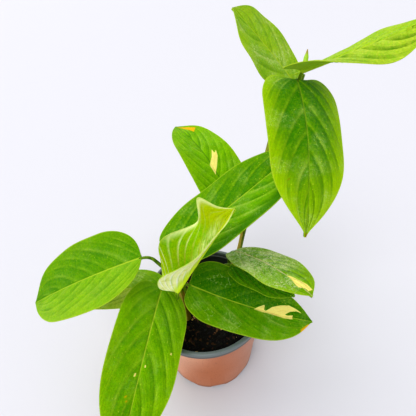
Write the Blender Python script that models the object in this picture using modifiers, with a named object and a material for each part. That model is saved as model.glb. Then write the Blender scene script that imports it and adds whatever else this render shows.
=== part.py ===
"""Potted climbing aroid with variegated leaves, in a two-colour nursery pot.

The plant stands in a pot of dark soil: a short shoot at the front with six leaves, and a long
climbing stem at the back with six more and one rolled new leaf. Sizes are in millimetres and are
turned into metres by MM. The origin is on the table under the pot's axis, +Z is up, and the
photograph looks along +Y from above.
"""

import math
from dataclasses import dataclass

import bmesh
import bpy
import numpy as np
from mathutils import Vector, noise

MM = 0.001

# Pot
POT_HEIGHT = 108.0
RIM_RADIUS = 65.0
RIM_BORE = 61.0
BAND_HEIGHT = 6.5
SHOULDER_RADIUS = 60.6
BASE_RADIUS = 52.4
WALL = 1.2
PAD_RADIUS = 12.0
FLOOR_LIFT = 5.0
FOOT_WIDTH = 5.0
FOOT_COUNT = 10
NOTCH_SHARE = 0.56
NOTCH_PHASE = 0.67
ROUND_STEPS = 48

# Soil
SOIL_TOP = 88.0
SOIL_GAP = 0.4
SOIL_BUMP = 2.2

# Stems and leaves
SEAT_GAP = 0.5
HOLE_DEPTH = 42.0
FRONT_FOOT = (-20.0, -13.0)
FRONT_RADIUS = 3.6
CLIMBER_FOOT = (33.0, 37.0)
CLIMBER_RADIUS = 2.8
BLADE_THICKNESS = 0.8
BLADE_ROWS = 24
BLADE_COLUMNS = 8
BASE_HALF_WIDTH = 1.9
TIP_HALF_WIDTH = 0.6
STALK_RADIUS = 1.3
STALK_ROOT_RADIUS = 2.0
STALK_LEAD = 8.0
RIB_HEIGHT = 0.25
VEIN_LEAN = 0.12
SINUS_PLACE = 0.04

LEAF_GREEN = (0.16, 0.42, 0.02)
GREY_GREEN = (0.24, 0.38, 0.12)
NEW_GREEN = (0.50, 0.62, 0.08)


@dataclass
class Leaf:
    """One leaf blade: where its stalk ends, which way it grows, and how it bends.

    Angles are degrees. heading is the compass direction of growth (0 = +X, 90 = +Y), rise the
    slope at the base, droop what the slope loses to the tip, swing the turn to the left, roll the
    drop of the right side, twist what the roll gains to the tip. fold and curl lift the halves
    out of the blade's plane, for (left at base, left at tip, right at base, right at tip); a
    larger ease gives them up sooner. flare is what the (left, right) half gains in width, as a
    share. bulge is a bulge of the left margin near the tip, forward as a share of the length and
    outward as a share of the half width. stalk_angle is how far the stalk comes from below the
    line of the midrib.
    """

    name: str
    base: tuple
    heading: float
    rise: float
    length: float
    width: float
    droop: float = 0.0
    swing: float = 0.0
    roll: float = 0.0
    twist: float = 0.0
    fold: tuple = (6.0, 6.0, 6.0, 6.0)
    curl: tuple = (0.0, 0.0, 0.0, 0.0)
    ease: float = 2.0
    widest: float = 0.22
    taper: float = 3.3
    point: float = 1.4
    lobe: float = 0.04
    wave: tuple = (0.8, 0.8)
    wave_start: tuple = (0.0, 115.0)
    waves: float = 2.5
    flare: tuple = (0.0, 0.0)
    bulge: tuple = (0.0, 0.0)
    stalk_angle: float = 25.0
    colour: tuple = LEAF_GREEN


def even(angle):
    """The same fold or curl on both halves, all along the blade."""
    return (angle,) * 4


LEAVES = [
    Leaf("leaf_front", base=(-40, -10, 139), heading=-98, rise=7, length=134, width=60,
         droop=30, swing=-6, roll=-33, twist=-5, fold=even(5), curl=even(-2), widest=0.19),
    Leaf("leaf_right", base=(-12, -16, 149), heading=-16, rise=-26, length=126, width=60,
         droop=-12, swing=8, roll=6, twist=8, fold=even(9), curl=even(7), widest=0.14),
    Leaf("leaf_left", base=(-54, -1, 176), heading=181, rise=-18, length=136, width=74,
         droop=13, swing=-3, roll=-17, twist=-5, fold=even(10), curl=even(9), lobe=0.01),
    Leaf("leaf_low", base=(-44, -3, 129), heading=169, rise=2, length=112, width=51,
         droop=44, roll=6, twist=6, fold=even(8), curl=even(-13)),
    Leaf("leaf_diagonal", base=(-29, 1, 177), heading=21, rise=23, length=160, width=63,
         droop=-5, swing=3, roll=7, fold=even(6), curl=even(1), lobe=0.05),
    Leaf("leaf_new", base=(-20, -38, 170), heading=25, rise=51, length=87, width=54,
         droop=4, roll=8, fold=(45, 20, 112, 50), curl=(0, 20, 5, 0), ease=3.0,
         widest=0.22, taper=2.3, point=1.0, lobe=0.05, wave=(10, 2), wave_start=(-115, 0),
         waves=2.0, flare=(0.0, 0.02), bulge=(0.04, 0.30), colour=NEW_GREEN),
    Leaf("leaf_grey", base=(34, 16, 155), heading=-50, rise=28, length=97, width=47,
         droop=24, swing=-12, roll=-15, fold=even(3), curl=even(-5), widest=0.38,
         lobe=0.03, colour=GREY_GREEN),
    Leaf("leaf_under", base=(31, 5, 147), heading=-35, rise=0, length=66, width=32,
         droop=12, fold=even(6)),
    Leaf("leaf_back", base=(40, 46, 179), heading=116, rise=54, length=131, width=55,
         droop=53, swing=9, roll=-3, twist=5, fold=even(8), curl=even(5)),
    Leaf("leaf_top", base=(101, 88, 292), heading=167, rise=51, length=83, width=50,
         droop=6, swing=16, roll=-32, fold=even(7), curl=even(-4), widest=0.33,
         taper=2.9, point=1.15, lobe=0.05, flare=(0.2, -0.1)),
    Leaf("leaf_hanging", base=(93, 58, 305), heading=-88, rise=-27, length=129, width=62,
         droop=22, swing=-20, roll=-15, twist=-9, fold=even(2), curl=even(-13),
         widest=0.125, taper=3.6, point=2.0, lobe=0.07, stalk_angle=65),
    Leaf("leaf_crown", base=(97, 61, 310), heading=-25, rise=24, length=88, width=45,
         droop=1, roll=18, fold=(-31, -7, 69, -35), lobe=0.17, stalk_angle=50),
]


def unit_vectors(azimuth, slope):
    """Direction, right-hand side and upper side of a line of growth, for arrays of radians."""
    along = np.stack([np.cos(slope) * np.cos(azimuth), np.cos(slope) * np.sin(azimuth),
                      np.sin(slope)], axis=-1)
    side = np.stack([np.sin(azimuth), -np.cos(azimuth), np.zeros_like(azimuth)], axis=-1)
    return along, side, np.cross(side, along)


def midrib(leaf, samples=80):
    """Places along the midrib with the directions along, across and out of the blade."""
    share = np.linspace(0.0, 1.0, samples)
    slope = np.radians(leaf.rise - leaf.droop * share)
    azimuth = np.radians(leaf.heading + leaf.swing * share)
    along, side, upper = unit_vectors(azimuth, slope)
    steps = (along[1:] + along[:-1]) / 2.0 * leaf.length / (samples - 1)
    places = np.vstack([np.zeros(3), np.cumsum(steps, axis=0)]) + np.array(leaf.base)
    roll = np.radians(leaf.roll + leaf.twist * share)[:, None]
    across = np.cos(roll) * side - np.sin(roll) * upper
    out = np.sin(roll) * side + np.cos(roll) * upper
    return share, places, along, across, out


def half_width(leaf, share):
    """Distance from the midrib to the margin: a round base and a drawn-out tip."""
    near = np.clip(1.0 - share / leaf.widest, 0.0, 1.0)
    far = np.clip((share - leaf.widest) / (1.0 - leaf.widest), 0.0, 1.0)
    base = np.sqrt(1.0 - near ** 2)
    tip = (1.0 - far ** leaf.taper) ** leaf.point
    least = BASE_HALF_WIDTH + (TIP_HALF_WIDTH - BASE_HALF_WIDTH) * share
    return leaf.width / 2.0 * np.where(share < leaf.widest, base, tip) + least


def blade_points(leaf, row, column, rib):
    """Points of the blade. row runs from base to tip, column from -1 (left margin) to 1."""
    reach = np.abs(column)
    place = row + VEIN_LEAN * reach ** 1.5 * 4.0 * row * (1.0 - row)
    sinus = row / SINUS_PLACE
    place = place - leaf.lobe * reach ** 2 * sinus * np.exp(1.0 - sinus)
    right = column > 0
    swollen = np.where(right, 0.0, np.exp(-((row - 0.79) / 0.06) ** 2))
    place = place + leaf.bulge[0] * reach ** 3 * swollen
    broader = np.where(right, leaf.flare[1], leaf.flare[0]) * row / 0.3 * np.exp(1.0 - row / 0.3)
    width = half_width(leaf, row) * (1.0 + broader) + leaf.bulge[1] * leaf.width / 2.0 * swollen
    hold = (1.0 - row) ** leaf.ease
    fold = np.where(right, leaf.fold[3] + (leaf.fold[2] - leaf.fold[3]) * hold,
                    leaf.fold[1] + (leaf.fold[0] - leaf.fold[1]) * hold)
    curl = np.where(right, leaf.curl[3] + (leaf.curl[2] - leaf.curl[3]) * hold,
                    leaf.curl[1] + (leaf.curl[0] - leaf.curl[1]) * hold)
    fold = np.radians(fold)
    bend = np.radians(np.where(np.abs(curl) < 0.1, 0.1, curl))
    sideways = (np.sin(fold + bend * reach) - np.sin(fold)) / bend * width * np.sign(column)
    height = (np.cos(fold) - np.cos(fold + bend * reach)) / bend * width
    swell = np.where(right, leaf.wave[1], leaf.wave[0])
    start = np.radians(np.where(right, leaf.wave_start[1], leaf.wave_start[0]))
    margin = reach ** 2.2 * np.sqrt(np.sin(math.pi * row))
    height = height + swell * margin * np.sin(2.0 * math.pi * leaf.waves * row + start)
    height = height + rib * np.clip(4.0 * reach * (1.0 - reach), 0.0, 1.0)
    share, places, along, across, out = midrib(leaf)

    def at(values):
        return np.stack([np.interp(place, share, values[:, k]) for k in range(3)], axis=-1)

    behind = np.minimum(place, 0.0) * leaf.length
    return (at(places) + behind[..., None] * along[0] + sideways[..., None] * at(across)
            + height[..., None] * at(out))


def material(name, colour, roughness):
    """A Principled material with the part's colour and roughness."""
    made = bpy.data.materials.new(name)
    made.use_nodes = True
    shader = made.node_tree.nodes["Principled BSDF"]
    shader.inputs["Base Color"].default_value = (*colour, 1.0)
    shader.inputs["Roughness"].default_value = roughness
    made.diffuse_color = (*colour, 1.0)
    return made


def collection(name, hidden=False):
    """A collection for the pieces, or a hidden one for the cutters."""
    made = bpy.data.collections.new(name)
    bpy.context.scene.collection.children.link(made)
    made.hide_render = hidden
    return made


def into(obj, group, surface=None):
    """Move an object to its collection and give it its material."""
    for old in list(obj.users_collection):
        old.objects.unlink(obj)
    group.objects.link(obj)
    if surface is not None:
        obj.data.materials.clear()
        obj.data.materials.append(surface)
    return obj


def select(obj):
    bpy.ops.object.select_all(action="DESELECT")
    obj.select_set(True)
    bpy.context.view_layer.objects.active = obj


def turned(name, profile, steps, group, surface):
    """A closed solid turned about Z from a profile of (radius, height) that starts on the axis."""
    mesh = bpy.data.meshes.new(name)
    shape = bmesh.new()
    verts = [shape.verts.new((r * MM, 0.0, z * MM)) for r, z in profile]
    for first, second in zip(verts, verts[1:]):
        shape.edges.new((first, second))
    shape.to_mesh(mesh)
    shape.free()
    obj = bpy.data.objects.new(name, mesh)
    into(obj, group, surface)
    screw = obj.modifiers.new("turn", "SCREW")
    screw.steps = steps
    screw.render_steps = steps
    screw.use_merge_vertices = True
    screw.merge_threshold = 0.00001
    screw.use_normal_calculate = True
    select(obj)
    bpy.ops.object.convert(target="MESH")
    bpy.ops.object.shade_auto_smooth(angle=math.radians(40))
    bpy.ops.object.convert(target="MESH")
    return obj


def cut(obj, cutter, operation="DIFFERENCE"):
    """Apply an exact Boolean with another object, which is then removed."""
    step = obj.modifiers.new("boolean", "BOOLEAN")
    step.operation = operation
    step.solver = "EXACT"
    step.object = cutter
    select(obj)
    bpy.ops.object.modifier_apply(modifier=step.name)
    bpy.data.objects.remove(cutter)


def wall_radius(height):
    """Outer radius of the pot's wall at a height."""
    shoulder = POT_HEIGHT - BAND_HEIGHT - 1.0
    return BASE_RADIUS + (SHOULDER_RADIUS - BASE_RADIUS) * height / shoulder


def pot_profile():
    band = POT_HEIGHT - BAND_HEIGHT
    top = POT_HEIGHT
    floor = FLOOR_LIFT + WALL
    foot = BASE_RADIUS - FOOT_WIDTH
    outside = [
        (0.0, 0.0), (PAD_RADIUS, 0.0), (PAD_RADIUS + 2.0, FLOOR_LIFT),
        (foot - 1.5, FLOOR_LIFT), (foot, 0.0), (BASE_RADIUS - 1.2, 0.0),
        (BASE_RADIUS, 1.4), (wall_radius(50.0), 50.0), (SHOULDER_RADIUS, band - 1.0),
        (RIM_BORE + 0.6, band - 0.2), (RIM_RADIUS - 0.8, band), (RIM_RADIUS, band + 0.8),
        (RIM_RADIUS, top - 1.0), (RIM_RADIUS - 0.9, top), (RIM_BORE + 0.8, top),
    ]
    inside = [
        (RIM_BORE, top - 0.9), (RIM_BORE, band + 0.4), (SHOULDER_RADIUS - WALL, band),
        (wall_radius(50.0) - WALL, 50.0), (BASE_RADIUS - WALL, floor + 1.0),
        (BASE_RADIUS - WALL - 1.5, floor), (PAD_RADIUS, floor), (0.0, floor),
    ]
    return outside + inside


def make_pot(group, cutters):
    """The pot: one shell with a rolled rim, a raised floor and feet between drain notches."""
    surface = material("pot_terracotta", (0.55, 0.20, 0.09), 0.5)
    pot = turned("pot", pot_profile(), ROUND_STEPS, group, surface)
    spacing = 2.0 * math.pi / FOOT_COUNT
    notch_width = NOTCH_SHARE * spacing * BASE_RADIUS
    for index in range(FOOT_COUNT):
        angle = (index + NOTCH_PHASE) * spacing
        bpy.ops.mesh.primitive_cylinder_add(vertices=12, radius=1.0, depth=1.0,
                                            location=(0.0, 0.0, 0.0))
        notch = into(bpy.context.object, cutters)
        notch.name = f"notch_{index}"
        notch.display_type = "WIRE"
        notch.scale = (FLOOR_LIFT * MM, notch_width / 2.0 * MM, 12.0 * MM)
        notch.rotation_euler = (0.0, math.pi / 2.0, angle)
        middle = BASE_RADIUS - FOOT_WIDTH / 2.0
        notch.location = (middle * math.cos(angle) * MM, middle * math.sin(angle) * MM,
                          -0.4 * MM)
        bpy.context.view_layer.update()
        cut(pot, notch)
    return pot


def soil_profile():
    floor = FLOOR_LIFT + WALL + SOIL_GAP
    gap = WALL + SOIL_GAP
    side = wall_radius(SOIL_TOP) - gap
    rings = [(side * share, SOIL_TOP) for share in (0.97, 0.84, 0.67, 0.5, 0.33, 0.16, 0.0)]
    return [
        (0.0, floor), (BASE_RADIUS - gap - 2.2, floor), (BASE_RADIUS - gap - 0.2, floor + 1.6),
        (wall_radius(50.0) - gap, 50.0), (wall_radius(SOIL_TOP - 2.0) - gap, SOIL_TOP - 2.0),
    ] + rings


def make_soil(group):
    """The soil: a plug with a lumpy top and a plain hole for each stem."""
    surface = material("soil", (0.03, 0.02, 0.014), 0.95)
    soil = turned("soil", soil_profile(), ROUND_STEPS, group, surface)
    for foot, radius in ((FRONT_FOOT, FRONT_RADIUS), (CLIMBER_FOOT, CLIMBER_RADIUS)):
        bpy.ops.mesh.primitive_cylinder_add(
            vertices=16, radius=(radius + SEAT_GAP) * MM, depth=2.0 * HOLE_DEPTH * MM,
            location=(foot[0] * MM, foot[1] * MM, SOIL_TOP * MM))
        cut(soil, bpy.context.object)
    edge = wall_radius(SOIL_TOP)
    for vertex in soil.data.vertices:
        radius = math.hypot(vertex.co.x, vertex.co.y) / MM
        if vertex.co.z > (SOIL_TOP - 0.5) * MM and radius < edge - 3.0:
            lump = noise.noise(vertex.co / (11.0 * MM)) + 0.5 * noise.noise(vertex.co / (5.0 * MM))
            vertex.co.z += SOIL_BUMP * lump * MM
    return soil


def tube(name, points, radii, group, surface, straight=0):
    """A bevelled curve through points, with a radius at each; the first ones may be straight."""
    data = bpy.data.curves.new(name, "CURVE")
    data.dimensions = "3D"
    data.bevel_depth = MM
    data.bevel_resolution = 2
    data.resolution_u = 3
    data.use_fill_caps = True
    spline = data.splines.new("BEZIER")
    spline.bezier_points.add(len(points) - 1)
    for index, (place, radius) in enumerate(zip(points, radii)):
        knot = spline.bezier_points[index]
        knot.co = Vector(place) * MM
        knot.radius = radius
        kind = "VECTOR" if index < straight else "AUTO"
        knot.handle_left_type = kind
        knot.handle_right_type = kind
    obj = bpy.data.objects.new(name, data)
    into(obj, group, surface)
    select(obj)
    bpy.ops.object.convert(target="MESH")
    mesh = obj.data
    shape = bmesh.new()
    shape.from_mesh(mesh)
    bmesh.ops.remove_doubles(shape, verts=shape.verts, dist=0.00001)
    bmesh.ops.recalc_face_normals(shape, faces=shape.faces)
    shape.to_mesh(mesh)
    shape.free()
    return obj


def petiole(leaf, way, root_radius, group, surface):
    """A leaf's stalk: through the points of way to its seat just behind the blade's base."""
    along, side, upper = unit_vectors(np.radians([float(leaf.heading)]),
                                      np.radians([float(leaf.rise)]))
    below = math.radians(leaf.stalk_angle)
    arrival = math.cos(below) * along[0] + math.sin(below) * upper[0]
    seat = np.array(leaf.base) - (SEAT_GAP + STALK_RADIUS * math.sin(below)) * along[0]
    lead = seat - STALK_LEAD * arrival
    points = [*way, tuple(lead), tuple(seat)]
    taper = np.linspace(root_radius, STALK_RADIUS, len(points))
    return tube(leaf.name + "_stalk", points, taper, group, surface)


def fuse(parts, name):
    """Join the parts of one stem into one solid."""
    stem = parts[0]
    for part in parts[1:]:
        cut(stem, part, "UNION")
    stem.name = name
    stem.data.name = name
    select(stem)
    bpy.ops.object.shade_smooth()
    return stem


def leaf_named(name):
    return next(leaf for leaf in LEAVES if leaf.name == name)


def make_front_shoot(group):
    """The front shoot: a short stem with the stalks of its six leaves."""
    surface = material("shoot", (0.16, 0.20, 0.05), 0.5)
    x, y = FRONT_FOOT
    foot = SOIL_TOP - HOLE_DEPTH + 0.6
    parts = [
        tube("stem_front",
             [(x, y, foot), (x, y, SOIL_TOP), (x - 1, y + 3, 108), (x - 3, y + 8, 124)],
             [FRONT_RADIUS, FRONT_RADIUS, 3.4, 2.8], group, surface, straight=2),
    ]
    ways = {
        "leaf_front": [(x, y + 1, 98), (x - 8, y + 12, 124)],
        "leaf_right": [(x, y + 1, 100), (x - 3, y + 9, 134), (x - 3, y + 6, 152)],
        "leaf_left": [(x, y + 2, 104), (x - 8, y + 12, 136), (x - 20, y + 11, 168)],
        "leaf_low": [(x, y, 94), (x - 8, y + 10, 116)],
        "leaf_diagonal": [(x, y + 2, 106), (x - 8, y + 12, 150)],
        "leaf_new": [(x, y + 2, 106), (x + 1, y + 8, 132), (x - 2, y - 4, 154)],
    }
    for name, way in ways.items():
        parts.append(petiole(leaf_named(name), way, STALK_ROOT_RADIUS, group, surface))
    return fuse(parts, "stem_front")


def make_climber(group):
    """The climbing stem: from the back of the pot up to the crown, with the stalks of six leaves."""
    surface = material("climber", (0.28, 0.26, 0.07), 0.5)
    x, y = CLIMBER_FOOT
    foot = SOIL_TOP - HOLE_DEPTH + 0.6
    parts = [
        tube("stem_back",
             [(x, y, foot), (x, y, SOIL_TOP), (36, 39, 104), (43, 42, 127), (48, 43, 155),
              (54, 45, 180), (66, 56, 205), (74, 70, 226), (82, 80, 250), (94, 92, 276),
              (110, 101, 288), (113, 103, 295)],
             [CLIMBER_RADIUS, CLIMBER_RADIUS, 2.8, 2.7, 2.7, 2.6, 2.6, 2.5, 2.4, 2.2, 1.9, 1.8],
             group, surface, straight=2),
    ]
    ways = {
        "leaf_grey": [(x, y, 98), (x - 3, y - 9, 126)],
        "leaf_under": [(x, y, 94), (x - 6, y - 18, 122)],
        "leaf_back": [(47.5, 43, 152), (43.5, 43, 163)],
        "leaf_top": [(86, 84, 261), (100, 88, 280)],
        "leaf_hanging": [(78, 75, 238), (82, 69, 262), (89, 64, 286)],
        "leaf_crown": [(80, 77, 244), (86, 70, 266), (91, 63, 290)],
    }
    for name, way in ways.items():
        parts.append(petiole(leaf_named(name), way, STALK_ROOT_RADIUS, group, surface))
    return fuse(parts, "stem_back")


def make_blade(leaf, group):
    """A leaf blade: a grid bent to the leaf's shape, split into triangles and given thickness."""
    bpy.ops.mesh.primitive_grid_add(x_subdivisions=BLADE_COLUMNS, y_subdivisions=BLADE_ROWS,
                                    size=2.0, location=(0.0, 0.0, 0.0))
    blade = into(bpy.context.object, group, material(leaf.name, leaf.colour, 0.35))
    blade.name = leaf.name
    blade.data.name = leaf.name
    shape = bmesh.new()
    shape.from_mesh(blade.data)
    bmesh.ops.triangulate(shape, faces=shape.faces, quad_method="FIXED")
    flat = np.array([vertex.co[:] for vertex in shape.verts])
    column = flat[:, 0]
    even_row = (flat[:, 1] + 1.0) / 2.0
    parity = np.where(np.round(even_row * BLADE_ROWS).astype(int) % 2 == 0, 1.0, -1.0)
    eased = (1.0 - np.cos(math.pi * even_row)) / 2.0
    row = 0.55 * even_row + 0.45 * eased
    points = blade_points(leaf, row, column, parity * RIB_HEIGHT) * MM
    for vertex, place in zip(shape.verts, points):
        vertex.co = place
    shape.to_mesh(blade.data)
    shape.free()
    skin = blade.modifiers.new("thickness", "SOLIDIFY")
    skin.thickness = BLADE_THICKNESS * MM
    skin.offset = 0.0
    select(blade)
    bpy.ops.object.convert(target="MESH")
    bpy.ops.object.shade_smooth()
    return blade


def make_spear(group):
    """The rolled new leaf that stands at the crown."""
    surface = material("spear", (0.45, 0.50, 0.08), 0.4)
    points = [(113.3, 103.4, 295.8), (114.8, 105, 301), (118, 109, 308), (120, 112, 314)]
    return tube("spear", points, [1.6, 1.7, 1.2, 0.4], group, surface)


def main():
    for obj in list(bpy.data.objects):
        bpy.data.objects.remove(obj)
    plant = collection("potted_climbing_aroid")
    cutters = collection("cutters", hidden=True)
    make_pot(plant, cutters)
    make_soil(plant)
    make_front_shoot(plant)
    make_climber(plant)
    for leaf in LEAVES:
        make_blade(leaf, plant)
    make_spear(plant)


main()
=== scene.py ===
"""The potted climbing aroid as it looks: leaves with their veins and patches, stems, soil and pot.

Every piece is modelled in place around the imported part, in metres, with +Z up and the origin under
the middle of the pot. The camera looks along +Y, from above.
"""

import math
import random
from dataclasses import dataclass

import bmesh
import bpy
import numpy as np
from bpy.props import FloatProperty, FloatVectorProperty, IntProperty, PointerProperty
from mathutils import Matrix, Vector, noise
from mathutils.geometry import interpolate_bezier


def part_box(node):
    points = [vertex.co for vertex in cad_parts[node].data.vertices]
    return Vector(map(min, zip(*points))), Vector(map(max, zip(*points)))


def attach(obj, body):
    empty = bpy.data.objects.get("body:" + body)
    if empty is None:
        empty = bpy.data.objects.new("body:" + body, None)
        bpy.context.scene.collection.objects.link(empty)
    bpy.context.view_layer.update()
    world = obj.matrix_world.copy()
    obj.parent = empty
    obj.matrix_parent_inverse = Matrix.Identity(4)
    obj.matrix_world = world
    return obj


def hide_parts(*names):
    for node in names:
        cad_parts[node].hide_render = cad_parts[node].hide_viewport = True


bl_info = {
    "name": "Potted Climbing Aroid",
    "version": (1, 0, 0),
    "blender": (4, 5, 0),
    "location": "View3D > Sidebar > Aroid",
    "description": "Builds a variegated climbing house plant in its nursery pot",
    "category": "Object",
}

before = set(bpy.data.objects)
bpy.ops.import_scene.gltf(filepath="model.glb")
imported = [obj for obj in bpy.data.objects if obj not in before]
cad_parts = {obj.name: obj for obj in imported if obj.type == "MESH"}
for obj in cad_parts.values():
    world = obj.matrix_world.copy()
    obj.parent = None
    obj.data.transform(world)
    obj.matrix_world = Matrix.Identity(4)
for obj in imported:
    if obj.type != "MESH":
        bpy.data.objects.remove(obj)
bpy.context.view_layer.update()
POT_RIM, _, POT_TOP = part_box("pot")[1]
SOIL_LOW, SOIL_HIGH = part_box("soil")
SPEAR_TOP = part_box("spear")[1].z

MM = 0.001

# The form of a blade, as its solid has it
BASE_HALF_WIDTH = 1.9
TIP_HALF_WIDTH = 0.6
VEIN_LEAN = 0.12
SINUS_PLACE = 0.04
FLARE_PLACE = 0.3
BULGE_PLACE = 0.79
BULGE_SPREAD = 0.06
LEAST_CURL = 0.1

# The blade's mesh
ROWS = 140
COLUMNS = 48
COLUMN_CROWDING = 1.5
MIDRIB_SAMPLES = 160
PRESSED_SPAN = 200.0

# The side veins: their course as shares of the blade, and the sunk midrib's relief in mm
VEIN_START_LEAN = 0.25
VEIN_DRIFT = 0.012
VEIN_DRIFT_TURNS = 2.3
LEFT_VEINS_AHEAD = 0.4
GROOVE_SHARE = 0.09
RIB_DEPTH = 0.35
RIB_SPREAD = 1.1

# Shades of the leaves' markings, and of the painted light and shade on them
# Painted sheen on the ridges beside the side veins
RIDGE_SHEEN = (0.54, 0.74, 0.12)
# A half's pale wash: partly its own paler tissue, partly painted light
WASH = (0.66, 0.68, 0.10)
# A whitish haze: partly residue, partly painted sheen
HAZE = (0.48, 0.58, 0.20)
CHALK = (0.60, 0.76, 0.25)
FILM_CHALK = (0.82, 0.82, 0.56)
FILM_RIB = (0.80, 0.62, 0.40)
DULL_CREAM = (0.80, 0.64, 0.16)
BURNT = (0.16, 0.045, 0.004)
YOUNG_RIB = (0.50, 0.42, 0.015)
# A young leaf's pale back: partly its own cream, partly painted light
YOUNG_BACK = (1.0, 1.0, 0.50)
# Painted shade in a young leaf's pleats, and painted glints on their crests
YOUNG_PLEAT_SHADE = (0.30, 0.52, 0.02)
YOUNG_GLINT = (1.0, 1.0, 0.85)
YOUNG_CREASE = (0.50, 0.68, 0.005)
SPEAR_TIP = (0.30, 0.13, 0.02)

# Shades of the stems, the pot and the soil
RIPE_BARK = (0.32, 0.16, 0.012)
# The clay's pale colour where painted light falls, towards its top and left
LIT_CLAY = (0.86, 0.45, 0.29)
# The slate below the rim's top, darker as painted shade
DARK_SLATE = (0.035, 0.042, 0.038)
# Painted grey reflection on the pot's right side
SKY_REFLECTION = (0.50, 0.34, 0.29)
GRIT = (0.95, 0.58, 0.24)

# A leaf's waxy skin: weak tinted reflections, and a little light let through
WAX = {"Specular IOR Level": 0.08, "Specular Tint": (0.45, 0.75, 0.10, 1.0),
       "Subsurface Weight": 0.06, "Subsurface Scale": 0.0015}

# The stems, in mm: where they stand in the soil, and the radius of a stalk at its two ends
FRONT_FOOT = (-20.0, -13.0)
BACK_FOOT = (33.0, 37.0)
FOOT_HEIGHT = 46.6
SOIL_TOP = 88.0
HOLE_DEPTH = 42.0
STALK_START = 2.0
STALK_END = 0.8

# The pot
FLOOR_LIFT = 5.0 * MM
FOOT_WIDTH = 5.0 * MM
PAD_RADIUS = 12.0 * MM
MIDDLE_HEIGHT = 50.0 * MM
BORE_INSET = 4.0 * MM
NOTCH_PHASE = 0.67
NOTCH_HALF = 0.28
NOTCH_DROP = 0.4 * MM
SOIL_GAP = 0.4 * MM

SENSOR_WIDTH = 36.0


@dataclass
class Leaf:
    """One leaf blade: its place, growth and bend, as in its solid, and its own markings.

    Angles are degrees and lengths mm; pairs are for the (left, right) half. heading is the compass
    direction of growth (0 = +X, 90 = +Y), rise the slope at the base, droop what the slope loses to
    the tip, swing the turn to the left, roll the drop of the right side, twist what the roll gains
    to the tip. fold and curl lift the halves out of the blade's plane, for (left at base, left at
    tip, right at base, right at tip), and ease is how soon they pass to the tip's values. widest is
    where the blade is broadest, taper and point shape its tip, and lobe draws back its base. waves
    of wave mm run along the margins, from the angle wave_start. flare is what a half gains in
    width, and bulge how far the left margin is pushed (forward, outward) near the tip, as shares.

    veins is the number of side veins, phase shifts them, sweep is how strongly they run towards the
    tip and bow how much more so near the margin. pleated is the height of the swell between them,
    as a share, and the strength of the painted highlight and shade beside them, and ribbed how far
    they stand out pale, as on a young leaf. dark and gold are shares of the darker and the yellower
    green, shadow how much darker a half is, as painted shade, bands how pale the ridges along
    the veins are, as painted sheen, wash how pale a half is, partly its own paler tissue and partly
    painted light, edge how much lighter the margins are, margin_shade how much darker, as painted
    shade, tipward how much lighter the tip is, and sunk how dark the veins are. bloom is the strength
    of the dried water marks and of a whitish haze that is partly painted sheen, and film_and_sheen
    that of the grey residue on the blade's first half, partly painted sheen.
    cream, rings and scorch are outlines of the patches, of the drops' dried rims and of the dry
    spots, on the blade laid flat, in mm to the right of the midrib and from the base, and dry is
    how brown the spots are.
    """

    name: str
    base: tuple
    heading: float
    rise: float
    length: float
    width: float
    droop: float = 0.0
    swing: float = 0.0
    roll: float = 0.0
    twist: float = 0.0
    fold: tuple = (6.0, 6.0, 6.0, 6.0)
    curl: tuple = (0.0, 0.0, 0.0, 0.0)
    ease: float = 2.0
    widest: float = 0.22
    taper: float = 3.3
    point: float = 1.4
    lobe: float = 0.04
    wave: tuple = (0.8, 0.8)
    wave_start: tuple = (0.0, 115.0)
    waves: float = 2.5
    flare: tuple = (0.0, 0.0)
    bulge: tuple = (0.0, 0.0)
    veins: float = 7.0
    phase: float = 0.0
    sweep: float = 1.0
    bow: float = 0.25
    pleated: float = 1.0
    ribbed: float = 0.0
    dark: float = 0.4
    gold: float = 0.2
    shadow: tuple = (0.0, 0.0)
    bands: tuple = (0.1, 0.1)
    wash: tuple = (0.0, 0.0)
    edge: float = 0.15
    margin_shade: tuple = (0.0, 0.0)
    tipward: float = 0.0
    sunk: float = 0.0
    bloom: float = 0.3
    film_and_sheen: float = 0.0
    cream: tuple = ()
    rings: tuple = ()
    scorch: tuple = ()
    dry: float = 0.0
    slot: str = "leaf"


def even(angle):
    """The same fold or curl on both halves, all along the blade."""
    return (angle,) * 4


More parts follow.
